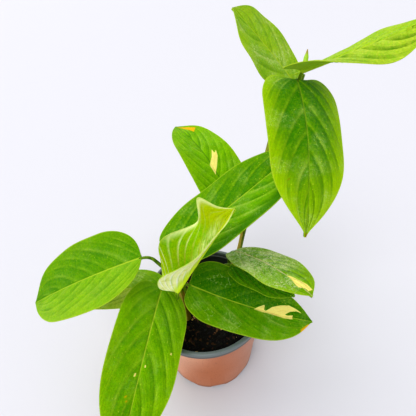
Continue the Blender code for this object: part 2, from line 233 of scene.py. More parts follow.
LEAVES = [
    Leaf("leaf_front", base=(-40, -10, 139), heading=-98, rise=7, length=134, width=60,
         droop=30, swing=-6, roll=-33, twist=-5, fold=even(5), curl=even(-2), widest=0.19,
         dark=0.3, gold=0.45, bloom=0.15, edge=0.2, veins=5.5, phase=0.2, pleated=0.5,
         cream=(((-23.6, 57.6), (-21.8, 57.4), (-21.6, 59.6), (-23.4, 59.8)),
                ((-3.7, 72), (-2.4, 71.8), (-2.3, 74), (-3.5, 73.8)),
                ((2.9, 78.8), (4.2, 78.4), (4.8, 82), (3.4, 81.8))),
         scorch=(((4.6, 95), (6.5, 93.8), (9, 95.6), (7.4, 97)),
                 ((3.4, 97.6), (5.5, 96.6), (7.5, 98.4), (5.4, 99.6)))),
    Leaf("leaf_right", base=(-12, -16, 149), heading=-16, rise=-26, length=126, width=60,
         droop=-12, swing=8, roll=6, twist=8, fold=even(9), curl=even(7), widest=0.14,
         dark=0.5, gold=0.3, bloom=0.45, shadow=(0.45, 0.0), bands=(0.0, 0.1),
         phase=0.6, veins=6.0, pleated=0.45,
         cream=(((1.7, 65.7), (-2.1, 70.2), (-6.1, 76.9), (-0.9, 76.6), (-0.5, 78.5),
                 (-5.4, 84.3), (-9, 92.7), (-10.8, 101.4), (-8.8, 108.7), (-5.6, 115.5),
                 (-6.6, 108.8), (-4.9, 102.6), (-1.3, 97.9), (-0.9, 100.6), (-2.3, 105.9),
                 (2.1, 105.5), (2.5, 96.3), (1.8, 82.2)),),
         rings=(((-11.3, 13.4), (-15.7, 19.5), (-20.1, 25.8), (-20.2, 34.7), (-15.6, 39.2),
                 (-11, 34.8), (-12.3, 27.1)),
                ((18.3, 38.2), (13.9, 41.6), (15.6, 45.6), (21.3, 44.2), (23.6, 40.6)),
                ((20, 21.1), (15, 25.1), (20.1, 28), (26, 24.2)),
                ((28.6, 43.2), (28.6, 48.7), (24.2, 52.9), (16.9, 53.4), (22, 49))),
         scorch=(((0, 129), (2.5, 122.5), (4.2, 119.3), (7.6, 115), (10.8, 111.6),
                  (18, 111), (14, 118)),)),
    Leaf("leaf_left", base=(-54, -1, 176), heading=181, rise=-18, length=136, width=74,
         droop=13, swing=-3, roll=-17, twist=-5, fold=even(10), curl=even(9), lobe=0.01,
         dark=0.36, gold=0.5, bloom=0.12, shadow=(-0.1, 0.3), phase=0.1, pleated=0.35,
         wash=(0.1, 0.0)),
    Leaf("leaf_low", base=(-44, -3, 129), heading=169, rise=2, length=112, width=51,
         droop=44, roll=6, twist=6, fold=even(8), curl=even(-13),
         dark=0.0, gold=1.0, bloom=1.0, shadow=(0.0, 0.3), phase=0.8, pleated=0.4,
         wash=(0.7, 0.0)),
    Leaf("leaf_diagonal", base=(-29, 1, 177), heading=21, rise=23, length=160, width=63,
         droop=-5, swing=3, roll=7, fold=even(6), curl=even(1), lobe=0.05, veins=6.0,
         dark=0.35, gold=0.35, bloom=0.3, shadow=(0.42, 0.0), bands=(0.05, 0.3),
         phase=0.4, pleated=0.6, margin_shade=(0.0, 0.75)),
    Leaf("leaf_new", base=(-20, -38, 170), heading=25, rise=51, length=87, width=54,
         droop=4, roll=8, fold=(45, 20, 112, 50), curl=(0, 20, 5, 0), ease=3.0, widest=0.22,
         taper=2.3, point=1.0, lobe=0.05, wave=(10, 2), wave_start=(-115, 0), waves=2.0,
         flare=(0.0, 0.02), bulge=(0.04, 0.30), pleated=0.5, veins=8, sweep=2.1, bow=0.02,
         dark=0.0, gold=0.8, bloom=0.0, phase=0.3, ribbed=1.0, slot="new_leaf"),
    Leaf("leaf_grey", base=(34, 16, 155), heading=-50, rise=28, length=97, width=47,
         droop=24, swing=-12, roll=-15, fold=even(3), curl=even(-5), widest=0.38,
         lobe=0.03, dark=0.40, gold=0.3, bloom=1.0, film_and_sheen=1.0, shadow=(0.22, 0.0), phase=0.5,
         pleated=0.8, edge=0.35, tipward=0.3,
         cream=(((-0.4, 69.6), (-2.8, 75), (-4.5, 80), (-5.4, 85.8), (-5, 92.8), (-1, 92),
                 (-0.4, 87.8), (2, 87.3), (4, 83.8), (2.2, 78.5)),)),
    Leaf("leaf_under", base=(31, 5, 147), heading=-35, rise=0, length=66, width=32,
         droop=12, fold=even(6), veins=5, dark=0.9, gold=0.0, bloom=0.1),
    Leaf("leaf_back", base=(40, 46, 179), heading=116, rise=54, length=131, width=55,
         droop=53, swing=9, roll=-3, twist=5, fold=even(8), curl=even(5),
         sunk=0.9, pleated=0.35, dark=0.05, gold=0.3, bloom=0.2, phase=0.7,
         cream=(((10, 74), (9.8, 67.8), (13.6, 71.5), (11.3, 64), (4, 53.5), (-2.8, 45),
                 (-2.9, 57.5), (4.3, 65)),),
         scorch=(((-2, 131), (15.5, 110.5), (8.5, 105), (2.6, 119.5)),)),
    Leaf("leaf_top", base=(101, 88, 292), heading=167, rise=51, length=83, width=50,
         droop=6, swing=16, roll=-32, fold=even(7), curl=even(-4), widest=0.33,
         taper=2.9, point=1.15, lobe=0.05, flare=(0.2, -0.1), veins=4.5, sweep=1.1,
         dark=0.05, gold=0.8, bloom=1.0, bands=(0.15, 0.15), phase=0.15, pleated=0.22,
         wash=(0.12, 0.18)),
    Leaf("leaf_hanging", base=(93, 58, 305), heading=-88, rise=-27, length=129, width=62,
         droop=22, swing=-20, roll=-15, twist=-9, fold=even(2), curl=even(-13),
         widest=0.125, taper=3.6, point=2.0, lobe=0.07, veins=6.0, sunk=0.55, pleated=0.7,
         dark=0.85, gold=0.5, bloom=0.4, edge=0.7, tipward=0.55, bands=(0.06, 0.06),
         phase=0.55,
         scorch=(((15, 85.5), (16.8, 88), (19, 88.6), (16.3, 90), (14.8, 88.5)),
                 ((-1.6, 125), (1.2, 126), (1, 131), (-1, 131))), dry=0.8),
    Leaf("leaf_crown", base=(97, 61, 310), heading=-25, rise=24, length=88, width=45,
         droop=1, roll=18, fold=(-31, -7, 69, -35), lobe=0.17, veins=5.5,
         dark=0.0, gold=1.0, bloom=0.2, phase=0.35, wash=(0.25, 0.4)),
]


class PotLooks(bpy.types.PropertyGroup):
    """The nursery pot."""

    wall: FloatProperty(name="Wall", description="Thickness of the pot's wall",
                        default=1.2 * MM, unit="LENGTH")
    band: FloatProperty(name="Rim height", description="Height of the rim's outer band",
                        default=6.5 * MM, unit="LENGTH")
    shoulder: FloatProperty(name="Shoulder radius", description="Radius just under the rim",
                            default=60.6 * MM, unit="LENGTH")
    base: FloatProperty(name="Base radius", description="Outer radius of the ring of feet",
                        default=52.4 * MM, unit="LENGTH")
    feet: IntProperty(name="Feet", description="Number of drain notches round the base",
                      default=10, min=3)
    clay: FloatVectorProperty(name="Outside", description="Colour of the outer wall",
                              subtype="COLOR", default=(0.395, 0.092, 0.007))
    # The rim's top takes this colour as painted light; below it the slate darkens as painted shade
    slate: FloatVectorProperty(name="Inside", description="Colour of the rim and the inside",
                               subtype="COLOR", default=(0.15, 0.18, 0.175))


class SoilLooks(bpy.types.PropertyGroup):
    """The potting mix."""

    lumps: FloatProperty(name="Lumps", description="Height of the lumps in the surface",
                         default=2.2 * MM, unit="LENGTH")
    crumbs: IntProperty(name="Crumbs", description="Number of loose crumbs on the surface",
                        default=900, min=0)
    peat: FloatVectorProperty(name="Peat", description="Colour of the mix",
                              subtype="COLOR", default=(0.004, 0.003, 0.002))
    bark: FloatVectorProperty(name="Bark", description="Colour of the bark crumbs",
                              subtype="COLOR", default=(0.17, 0.068, 0.020))


class StemLooks(bpy.types.PropertyGroup):
    """The stems and leaf stalks."""

    stalk: FloatProperty(name="Stalk radius", description="Radius of a stalk at its leaf",
                         default=1.3 * MM, unit="LENGTH")
    olive: FloatVectorProperty(name="Olive", description="Shaded side of the stems",
                               subtype="COLOR", default=(0.045, 0.110, 0.002))
    # Tan lies on the stems' left sides: partly ripe colour, partly painted light
    tan: FloatVectorProperty(name="Tan", description="Ripe side of the stems",
                             subtype="COLOR", default=(0.64, 0.48, 0.09))
    fresh: FloatVectorProperty(name="Fresh green", description="Colour of the leaf stalks",
                               subtype="COLOR", default=(0.175, 0.300, 0.006))


class LeafLooks(bpy.types.PropertyGroup):
    """The leaf blades."""

    thickness: FloatProperty(name="Thickness", description="Thickness of the midrib",
                             default=1.7 * MM, unit="LENGTH")
    thin: FloatProperty(name="Thin share", description="Thickness of the blade beside its midrib",
                        default=0.3, min=0.1, max=1.0)
    vein_depth: FloatProperty(name="Vein depth", description="Depth of the side veins",
                              default=0.5 * MM, unit="LENGTH")
    quilt: FloatProperty(name="Quilting", description="Swell of the blade between its side veins",
                         default=0.9 * MM, unit="LENGTH")
    green: FloatVectorProperty(name="Green", description="Colour of a grown leaf",
                               subtype="COLOR", default=(0.180, 0.460, 0.001))
    deep: FloatVectorProperty(name="Deep green", description="Shade along the veins",
                              subtype="COLOR", default=(0.022, 0.165, 0.001))
    gold: FloatVectorProperty(name="Yellow green", description="Colour of young tissue",
                              subtype="COLOR", default=(0.38, 0.60, 0.001))
    pale: FloatVectorProperty(name="Pale green", description="Colour of the midrib",
                              subtype="COLOR", default=(0.46, 0.60, 0.040))
    cream: FloatVectorProperty(name="Cream", description="Colour of the patches",
                               subtype="COLOR", default=(0.90, 0.80, 0.22))
    sun: FloatVectorProperty(name="Yellow", description="Yellowest shade of a young leaf",
                             subtype="COLOR", default=(0.52, 0.60, 0.001))
    milk: FloatVectorProperty(name="Milk", description="Colour of a young leaf's veins and back",
                              subtype="COLOR", default=(0.84, 0.91, 0.40))
    scorch: FloatVectorProperty(name="Scorch", description="Colour of the dry spots",
                                subtype="COLOR", default=(0.86, 0.47, 0.006))


class StageLooks(bpy.types.PropertyGroup):
    """Camera, lights and floor."""

    lens: FloatProperty(name="Lens", description="Focal length of the camera",
                        default=25.96, unit="CAMERA")
    pitch: FloatProperty(name="Pitch", description="How far the camera looks down",
                         default=math.radians(39.4), subtype="ANGLE")
    roll: FloatProperty(name="Roll", description="How far the camera leans",
                        default=math.radians(5.1), subtype="ANGLE")
    eye: FloatVectorProperty(name="Eye", description="Place of the camera",
                             subtype="TRANSLATION", default=(0.0120, -0.1905, 0.3836))
    floor: FloatVectorProperty(name="Floor", description="Colour of the floor",
                               subtype="COLOR", default=(0.635, 0.628, 0.655))


class PlantLooks(bpy.types.PropertyGroup):
    """All settings of the plant."""

    pot: PointerProperty(type=PotLooks)
    soil: PointerProperty(type=SoilLooks)
    stem: PointerProperty(type=StemLooks)
    leaf: PointerProperty(type=LeafLooks)
    stage: PointerProperty(type=StageLooks)


def looks():
    return bpy.context.scene.plant_looks


def deselect():
    bpy.ops.object.select_all(action="DESELECT")


def activate(piece):
    deselect()
    piece.select_set(True)
    bpy.context.view_layer.objects.active = piece


def apply_modifier(piece, modifier):
    activate(piece)
    bpy.ops.object.modifier_apply(modifier=modifier.name)


def place_in_mesh(piece):
    """Puts the object's place, turn and scale into its mesh."""
    activate(piece)
    bpy.ops.object.transform_apply(location=True, rotation=True, scale=True)


def combine(piece, tool, operation="DIFFERENCE"):
    """Cuts the tool out of the piece, or joins it on, and removes the tool."""
    step = piece.modifiers.new("step", "BOOLEAN")
    step.operation = operation
    step.solver = "EXACT"
    step.object = tool
    apply_modifier(piece, step)
    bpy.data.objects.remove(tool)


def smooth(piece, angle):
    activate(piece)
    bpy.ops.object.shade_smooth_by_angle(angle=math.radians(angle))


def dress(piece, *surfaces):
    """The piece's materials, in place of those that it has."""
    piece.data.materials.clear()
    for surface in surfaces:
        piece.data.materials.append(surface)


def keep_values(mesh, name, values):
    """Stores a value for each vertex, under a name that a material can read."""
    mesh.attributes.new(name, "FLOAT", "POINT").data.foreach_set(
        "value", values.ravel().astype(np.float32))


def hand_over(piece, slot, *nodes):
    """The finished piece rides on the plant and stands for its nodes."""
    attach(piece, "root")
    if nodes:
        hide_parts(*nodes)


# Shader nodes


class Value:
    """What a node puts out. Sums and products of values make the nodes that work them out."""

    def __init__(self, tree, socket):
        self.tree = tree
        self.socket = socket

    def maths(self, operation, other=0.0, clamp=False):
        return put(self.tree, "ShaderNodeMath", {0: self, 1: other}, operation=operation,
                   use_clamp=clamp)[0]

    def __add__(self, other):
        return self.maths("ADD", other)

    def __sub__(self, other):
        return self.maths("SUBTRACT", other)

    def __rsub__(self, other):
        return put(self.tree, "ShaderNodeMath", {0: other, 1: self}, operation="SUBTRACT")[0]

    def __mul__(self, other):
        return self.maths("MULTIPLY", other)

    def __abs__(self):
        return self.maths("ABSOLUTE")

    def ramp(self, low, high, start=0.0, end=1.0):
        """This value from low to high becomes start to end, eased at both."""
        return put(self.tree, "ShaderNodeMapRange",
                   {"Value": self, "From Min": low, "From Max": high,
                    "To Min": start, "To Max": end}, interpolation_type="SMOOTHSTEP")[0]

    def grain(self, scale, detail=2.0, roughness=0.5):
        """Noise at this place."""
        return put(self.tree, "ShaderNodeTexNoise",
                   {"Vector": self, "Scale": scale, "Detail": detail, "Roughness": roughness}
                   )["Fac"]

    def cells(self, scale):
        """Cells at this place: their distance and three random values for each."""
        made = put(self.tree, "ShaderNodeTexVoronoi", {"Vector": self, "Scale": scale})
        return made["Distance"], put(self.tree, "ShaderNodeSeparateColor", {0: made["Color"]})

    def axes(self):
        """X, Y and Z of this place."""
        return put(self.tree, "ShaderNodeSeparateXYZ", {0: self})


class Outputs:
    """The outputs of a node as values, by name or number."""

    def __init__(self, tree, sockets):
        self.tree = tree
        self.sockets = sockets

    def __getitem__(self, key):
        return Value(self.tree, self.sockets[key])


def feed(tree, node, inputs):
    """Sets a node's inputs to numbers and colours, or links them to values."""
    for name, value in inputs.items():
        if isinstance(value, Value):
            tree.links.new(value.socket, node.inputs[name])
        else:
            node.inputs[name].default_value = value


def put(tree, kind, inputs=None, **settings):
    """A node with its settings and inputs; gives its outputs."""
    made = tree.nodes.new(kind)
    for name, value in settings.items():
        setattr(made, name, value)
    feed(tree, made, inputs or {})
    return Outputs(tree, made.outputs)


def open_group(name, numbers, vectors=()):
    """An empty node group with its inputs."""
    tree = bpy.data.node_groups.new(name, "ShaderNodeTree")
    for titles, kind in ((vectors, "NodeSocketVector"), (numbers, "NodeSocketFloat")):
        for title in titles:
            tree.interface.new_socket(name=title, in_out="INPUT", socket_type=kind)
    return tree, Outputs(tree, tree.nodes.new("NodeGroupInput").outputs)


def close_group(tree, results):
    """Adds the group's outputs, each with the value that it puts out."""
    for title in results:
        tree.interface.new_socket(name=title, in_out="OUTPUT", socket_type="NodeSocketFloat")
    feed(tree, tree.nodes.new("NodeGroupOutput"), results)
    return tree


class Paint:
    """A Principled material in the making, with the colour that is laid on so far."""

    def __init__(self, name, colour=None):
        self.material = bpy.data.materials.new(name)
        self.material.use_nodes = True
        self.tree = self.material.node_tree
        self.colour = colour

    def here(self):
        """The place on the object."""
        return put(self.tree, "ShaderNodeTexCoord")["Object"]

    def kept(self, name):
        """The values stored for the vertices under a name."""
        return put(self.tree, "ShaderNodeAttribute", attribute_name=name)["Fac"]

    def mix(self, share, first, second):
        """A colour between two others."""
        pair = [colour if isinstance(colour, Value) else (*colour[:3], 1.0)
                for colour in (first, second)]
        return put(self.tree, "ShaderNodeMix", {0: share, 6: pair[0], 7: pair[1]},
                   data_type="RGBA")[2]

    def lay(self, share, colour):
        """Lays a share of another colour over the colour so far."""
        self.colour = self.mix(share, self.colour, colour)

    def finish(self, roughness, relief=None, others=None):
        """Feeds the shader, with relief as (height, strength, distance); gives the material."""
        feeds = {"Base Color": self.colour, "Roughness": roughness, **(others or {})}
        if relief:
            bump = dict(zip(("Height", "Strength", "Distance"), relief))
            feeds["Normal"] = put(self.tree, "ShaderNodeBump", bump)["Normal"]
        feed(self.tree, self.tree.nodes["Principled BSDF"], feeds)
        return self.material


def vein_group():
    """Masks of the midrib, the side veins with painted shade and highlight beside each, and the rest.
    """
    tree, given = open_group(
        "leaf_veins", ("Column", "Place", "Across", "Count", "Sweep", "Bow", "Phase"))
    column = given["Column"]
    reach = abs(column)
    advance = (reach * VEIN_START_LEAN + reach * reach * given["Bow"]) * given["Sweep"]
    start = given["Place"] - advance
    turn = (start + given["Phase"]) * (2.0 * math.pi * VEIN_DRIFT_TURNS)
    drift = turn.maths("SINE") * VEIN_DRIFT
    left = column.maths("LESS_THAN", 0.0) * LEFT_VEINS_AHEAD
    count = (start + drift) * given["Count"] + left + given["Phase"]
    past = count - count.maths("ROUND")
    fading = reach.ramp(0.70, 0.97, 1.0, 0.15)
    shade = past.ramp(-0.03, 0.03) * past.ramp(0.05, 0.42, 1.0, 0.0)
    ridge = past.ramp(-0.42, -0.12) * past.ramp(-0.10, -0.02, 1.0, 0.0)
    fine = (count * 4.0).maths("PINGPONG", 0.5)
    rib_width = 0.75 - given["Place"] * 0.55
    along = put(tree, "ShaderNodeCombineXYZ", {0: count * 7.0, 1: column * 5.0})[0]
    return close_group(tree, {
        "Midrib": (abs(given["Across"]) - rib_width).ramp(-0.3, 0.25, 1.0, 0.0),
        "Veins": abs(past).ramp(0.0, 0.030, 1.0, 0.0) * fading,
        "Band": abs(past).ramp(0.02, 0.24, 1.0, 0.0),
        "Shade": shade * fading,
        "Ridge": ridge * fading,
        "Fine veins": fine.ramp(0.0, 0.25, 1.0, 0.0),
        "Fibres": along.grain(1.0, 4.0, 0.6),
        "Margin": reach.ramp(0.965, 0.99),
    })


def fleck_group():
    """Masks of small pale flecks and of dried water marks, on the blade laid flat, in mm."""
    tree, given = open_group("leaf_flecks", ("Phase",), ("Pressed",))
    shift = put(tree, "ShaderNodeCombineXYZ", {2: given["Phase"] * 90.0})[0]
    moved = put(tree, "ShaderNodeVectorMath", {0: given["Pressed"], 1: shift},
                operation="ADD")[0]
    distance, random_values = moved.cells(0.42)
    chosen = random_values[0].maths("GREATER_THAN", 0.80)
    cloud = moved.grain(0.055).ramp(0.46, 0.66)
    rings = abs(moved.grain(0.21, 3.0, 0.55) - 0.5)
    crossing = abs(moved.grain(0.40, 4.0, 0.6) - 0.5).ramp(0.0, 0.04, 1.0, 0.0) * cloud
    return close_group(tree, {
        "Flecks": distance.ramp(0.12, 0.28, 1.0, 0.0) * chosen,
        "Marks": rings.ramp(0.0, 0.030, 1.0, 0.0) * cloud,
        "Scribbles": rings.ramp(0.0, 0.045, 0.9, 0.0).maths("MAXIMUM", crossing),
        "Cloud": cloud,
    })


def start_side(leaf, side, groups):
    """A material for one side of a leaf, its masks, and where a point lies on the blade.

    That is its column and its place, as shares, and its place and its distance from the midrib on
    the blade laid flat, in mm.
    """
    paint = Paint(leaf.name + side)
    tree = paint.tree
    course = put(tree, "ShaderNodeUVMap", uv_map="course")[0].axes()
    column = course[0] * 2.0 - 1.0
    flat = put(tree, "ShaderNodeUVMap", uv_map="pressed")[0]
    pressed = put(tree, "ShaderNodeMapping",
                  {"Vector": flat, "Location": (-PRESSED_SPAN / 2.0, 0.0, 0.0),
                   "Scale": (PRESSED_SPAN, PRESSED_SPAN, 1.0)})[0]
    across = pressed.axes()[0]
    veins = put(tree, "ShaderNodeGroup", node_tree=groups["veins"], inputs={
        "Column": column, "Place": course[1], "Across": across, "Count": leaf.veins,
        "Sweep": leaf.sweep, "Bow": leaf.bow, "Phase": leaf.phase})
    return paint, veins, column, course[1], pressed, across


def patch_mask(paint, name, ragged, softness=0.25):
    """A patch with a slightly ragged edge, from the distance to its outline."""
    return (paint.kept(name) + ragged * 0.8).ramp(0.30, 0.30 + softness)


def per_half(half, pair):
    """The first value on the left half of the blade, the second on the right half."""
    return half * (pair[1] - pair[0]) + pair[0]


def leaf_upper(leaf, groups):
    """The glossy upper side: sunk veins, pale midrib, mottled green, patches and dry spots."""
    shades = looks().leaf
    paint, veins, column, place, pressed, across = start_side(leaf, "_upper", groups)
    reach = abs(column)
    half = column.maths("GREATER_THAN", 0.0)
    marks = put(paint.tree, "ShaderNodeGroup", {"Pressed": pressed, "Phase": leaf.phase},
                node_tree=groups["flecks"])
    mottle = pressed.grain(0.42, 6.0, 0.7).ramp(0.42, 0.58)
    mottled = mottle * 0.5 + 0.5
    fibres = veins["Fibres"].ramp(0.36, 0.64)
    uneven = pressed.grain(0.09).ramp(0.3, 0.65, 0.25, 1.0)

    # The green of the blade, one half darker as painted shade
    darker = per_half(half, leaf.shadow).maths("ADD", leaf.dark, clamp=True)
    calm = darker.ramp(0.82, 0.95, 1.0, 0.3)
    body = paint.mix(darker, shades.green, shades.deep)
    light = paint.mix((1.0 - darker) * leaf.gold, body,
                      shades.sun if leaf.ribbed else shades.gold)
    paint.colour = body
    paint.lay(pressed.grain(0.04, 3.0).ramp(0.32, 0.68) * 0.8, light)
    paint.lay(fibres * 0.12, light)
    paint.lay(mottle * 0.20, shades.gold)
    paint.lay(pressed.grain(0.17, 4.0, 0.6).ramp(0.46, 0.66) * 0.45, light)
    specks = pressed.grain(0.8, 4.0, 0.7).ramp(0.50, 0.62)
    paint.lay(specks * 0.28, shades.deep)
    cloudy = 0.24 - 0.24 * max(leaf.ribbed, leaf.gold - 0.5)
    paint.lay(pressed.grain(0.075, 5.0, 0.6).ramp(0.42, 0.62, 0.0, cloudy), shades.deep)
    paint.lay(reach.ramp(0.45, 1.0, 0.0, leaf.edge), shades.gold)
    paint.lay(place.ramp(0.35, 1.0, 0.0, leaf.tipward), shades.gold)

    # Between the side veins: painted highlight and sheen before each vein, painted shade after it
    ridge = veins["Ridge"] * uneven * calm
    paint.lay(ridge * (0.45 * leaf.pleated), shades.gold)
    paint.lay(per_half(half, leaf.bands) * ridge * mottled, RIDGE_SHEEN)
    # A pale wash over a half: partly its own paler tissue, partly painted light
    paint.lay(per_half(half, leaf.wash) * mottled, WASH)
    sunk = veins["Shade"] * uneven * (0.25 + 0.4 * leaf.pleated)
    paint.lay(sunk, shades.green if leaf.ribbed else shades.deep)
    if leaf.ribbed:
        paint.lay(place.ramp(0.62, 0.85, 0.0, 0.7), shades.sun)
        band = veins["Band"].maths("POWER", 2.5) * uneven * place.ramp(0.50, 0.75, 1.0, 0.25)
        rib = paint.mix(reach.ramp(0.25, 0.75), YOUNG_RIB, shades.milk)
        paint.lay(band * (0.75 * leaf.ribbed), rib)
        # A painted highlight along the midrib of the young leaf's middle
        middle = place.ramp(0.30, 0.50) * place.ramp(0.72, 0.90, 1.0, 0.0)
        midrib_highlight = abs(across).ramp(2.0, 9.0, 0.75, 0.0) * middle
        paint.lay(midrib_highlight * fibres, shades.milk)
        # A painted reflection along the margins, past the first third of the blade
        paint.lay(reach.ramp(0.80, 0.97, 0.0, 0.85) * place.ramp(0.35, 0.55), shades.milk)
    paint.lay(veins["Fine veins"] * 0.10, shades.deep)
    paint.lay(veins["Veins"] * 0.22, paint.mix(leaf.sunk, shades.pale, shades.deep))

    # Flecks, a whitish haze, partly residue and partly painted sheen, and what dried water leaves
    paint.lay(marks["Flecks"] * 0.55, shades.pale)
    haze = marks["Cloud"] * (veins["Ridge"] * 0.5 + 0.18) * (calm * leaf.bloom)
    # On the grey leaf, a grey residue over the blade's first half, partly painted sheen
    if leaf.film_and_sheen:
        film_and_sheen = pressed.grain(0.085, 4.0, 0.6).ramp(0.38, 0.62, 0.15, 1.0) * mottled
        haze = haze + film_and_sheen * place.ramp(0.5, 0.8, leaf.film_and_sheen, 0.0)
    paint.lay((haze * 0.7).maths("MINIMUM", 0.75), HAZE)
    # Painted shade along the margin of one half
    paint.lay(per_half(half, leaf.margin_shade) * reach.ramp(0.62, 0.88), shades.deep)
    dried = marks["Marks"] * (calm * leaf.bloom)
    if leaf.film_and_sheen:
        dried = dried.maths("MAXIMUM", marks["Scribbles"] * place.ramp(0.40, 0.85, 1.0, 0.0))
    if leaf.rings:
        away = abs(paint.kept("rings") + (pressed.grain(0.26) - 0.5) * 9.0)
        broken = pressed.grain(0.5, 3.0).ramp(0.44, 0.56)
        dried = dried.maths("MAXIMUM", away.ramp(0.25, 0.95, 0.5, 0.0) * broken)
    paint.lay(dried * 0.62, FILM_CHALK if leaf.film_and_sheen else CHALK)

    # Midrib, margin, patches and dry spots
    rib = paint.mix(leaf.sunk, FILM_RIB if leaf.film_and_sheen else shades.pale, shades.deep)
    paint.lay(veins["Midrib"] * 0.75, rib)
    paint.lay(veins["Margin"] * 0.5, shades.pale)
    if leaf.cream:
        tint = paint.mix(fibres * 0.35, shades.cream, DULL_CREAM)
        paint.lay(patch_mask(paint, "cream", veins["Fibres"]), tint)
    if leaf.scorch:
        spot = patch_mask(paint, "scorch", veins["Fibres"], 1.6)
        paint.lay(spot * 0.9, paint.mix(leaf.dry, shades.scorch, BURNT))
    gloss = (mottle * 0.10 + 0.36).maths("ADD", haze * 0.2, clamp=True)
    return paint.finish(gloss, (mottle - veins["Fine veins"] * 0.5, 0.6, 0.0004), WAX)


def leaf_lower(leaf, groups):
    """The matt underside: paler, with raised veins."""
    shades = looks().leaf
    young = leaf.ribbed
    paint, veins, _, place, pressed, across = start_side(leaf, "_lower", groups)
    mottle = pressed.grain(0.9, 3.0, 0.6)
    uneven = pressed.grain(0.16, 3.0).ramp(0.35, 0.6, 0.2, 1.0)
    low = place.ramp(0.05, 0.6, 1.0, 0.1)
    pleat_shade = veins["Shade"] * (uneven * low)
    paint.colour = paint.mix(leaf.dark * 0.5, shades.green, shades.deep)
    paint.lay(0.30 + 0.4 * leaf.gold, shades.pale)
    # The young leaf's pale back: partly its own cream, partly painted light
    paint.lay(young, YOUNG_BACK)
    paint.lay(pressed.grain(0.06, 3.0).ramp(0.3, 0.7) * (0.25 - 0.1 * young), shades.gold)
    paint.lay(mottle * (0.2 - 0.1 * young), shades.green)
    paint.lay(veins["Fibres"] * (0.3 - 0.2 * young), shades.green)
    # Painted shade in the young leaf's pleats and painted glints on their crests
    paint.lay(pleat_shade * (0.75 * young), YOUNG_PLEAT_SHADE)
    paint.lay(veins["Band"].maths("POWER", 2.5) * low * young, YOUNG_GLINT)
    shares = {"Veins": 0.6 - 0.6 * young, "Fine veins": 0.15, "Midrib": 0.75, "Margin": 0.5}
    for name, share in shares.items():
        paint.lay(veins[name] * share, shades.pale)
    if leaf.cream:
        paint.lay(patch_mask(paint, "cream", veins["Fibres"]) * 0.8, shades.cream)
    if young:
        paint.lay(pressed.grain(0.11, 3.0, 0.6).ramp(0.46, 0.70, 0.0, 0.5), shades.sun)
        paint.lay(abs(across).ramp(1.5, 9.0, 0.9, 0.0), YOUNG_CREASE)
    height = mottle + veins["Fine veins"] - pleat_shade * (2.0 * young)
    return paint.finish(mottle * 0.12 + 0.46, (height, 0.3, 0.00015), WAX)


# Leaf blades


def unit_vectors(azimuth, slope):
    """Direction, right-hand side and upper side of a line of growth, for arrays of radians."""
    along = np.stack([np.cos(slope) * np.cos(azimuth), np.cos(slope) * np.sin(azimuth),
                      np.sin(slope)], axis=-1)
    side = np.stack([np.sin(azimuth), -np.cos(azimuth), np.zeros_like(azimuth)], axis=-1)
    return along, side, np.cross(side, along)


def midrib(leaf):
    """Places along the midrib with the directions along, across and out of the blade."""
    share = np.linspace(0.0, 1.0, MIDRIB_SAMPLES)
    slope = np.radians(leaf.rise - leaf.droop * share)
    azimuth = np.radians(leaf.heading + leaf.swing * share)
    along, side, upper = unit_vectors(azimuth, slope)
    steps = (along[1:] + along[:-1]) / 2.0 * leaf.length / (MIDRIB_SAMPLES - 1)
    places = np.vstack([np.zeros(3), np.cumsum(steps, axis=0)]) + np.array(leaf.base)
    roll = np.radians(leaf.roll + leaf.twist * share)[:, None]
    across = np.cos(roll) * side - np.sin(roll) * upper
    out = np.sin(roll) * side + np.cos(roll) * upper
    return share, places, along, across, out


def half_width(leaf, share):
    """Distance from the midrib to the margin: a round base and a drawn-out tip."""
    near = np.clip(1.0 - share / leaf.widest, 0.0, 1.0)
    far = np.clip((share - leaf.widest) / (1.0 - leaf.widest), 0.0, 1.0)
    base = np.sqrt(1.0 - near ** 2)
    tip = (1.0 - far ** leaf.taper) ** leaf.point
    least = BASE_HALF_WIDTH + (TIP_HALF_WIDTH - BASE_HALF_WIDTH) * share
    return leaf.width / 2.0 * np.where(share < leaf.widest, base, tip) + least


def left_bulge(row, column):
    """A bulge of the left margin near the tip, from 0 to 1."""
    return np.where(column < 0, np.exp(-((row - BULGE_PLACE) / BULGE_SPREAD) ** 2), 0.0)


def blade_place(leaf, row, column):
    """How far along the midrib a point of the blade lies."""
    reach = np.abs(column)
    place = row + VEIN_LEAN * reach ** 1.5 * 4.0 * row * (1.0 - row)
    sinus = row / SINUS_PLACE
    place = place - leaf.lobe * reach ** 2 * sinus * np.exp(1.0 - sinus)
    return place + leaf.bulge[0] * reach ** 3 * left_bulge(row, column)


def relief(leaf, place, column):
    """Height of the upper side in mm: sunk side veins, swollen fields and a sunk midrib."""
    reach = np.abs(column)
    start = place - leaf.sweep * (VEIN_START_LEAN * reach + leaf.bow * reach ** 2)
    drift = VEIN_DRIFT * np.sin(2.0 * math.pi * VEIN_DRIFT_TURNS * (start + leaf.phase))
    left = np.where(column < 0.0, LEFT_VEINS_AHEAD, 0.0)
    count = (start + drift) * leaf.veins + left + leaf.phase
    past = count - np.round(count)
    inner = np.clip(reach / 0.06, 0.0, 1.0)
    edge = np.clip((1.0 - reach) / 0.25, 0.0, 1.0)
    ends = np.clip(np.sin(math.pi * np.clip(place, 0.0, 1.0)) * 2.5, 0.0, 1.0)
    swell = looks().leaf.quilt / MM * np.sin(np.abs(past) * math.pi) * inner
    groove = looks().leaf.vein_depth / MM * np.exp(-(past / GROOVE_SHARE) ** 2) * inner
    across = column * half_width(leaf, np.clip(place, 0, 1))
    rib = RIB_DEPTH * np.exp(-(across / RIB_SPREAD) ** 2)
    return leaf.pleated * (swell - groove) * edge * ends - rib


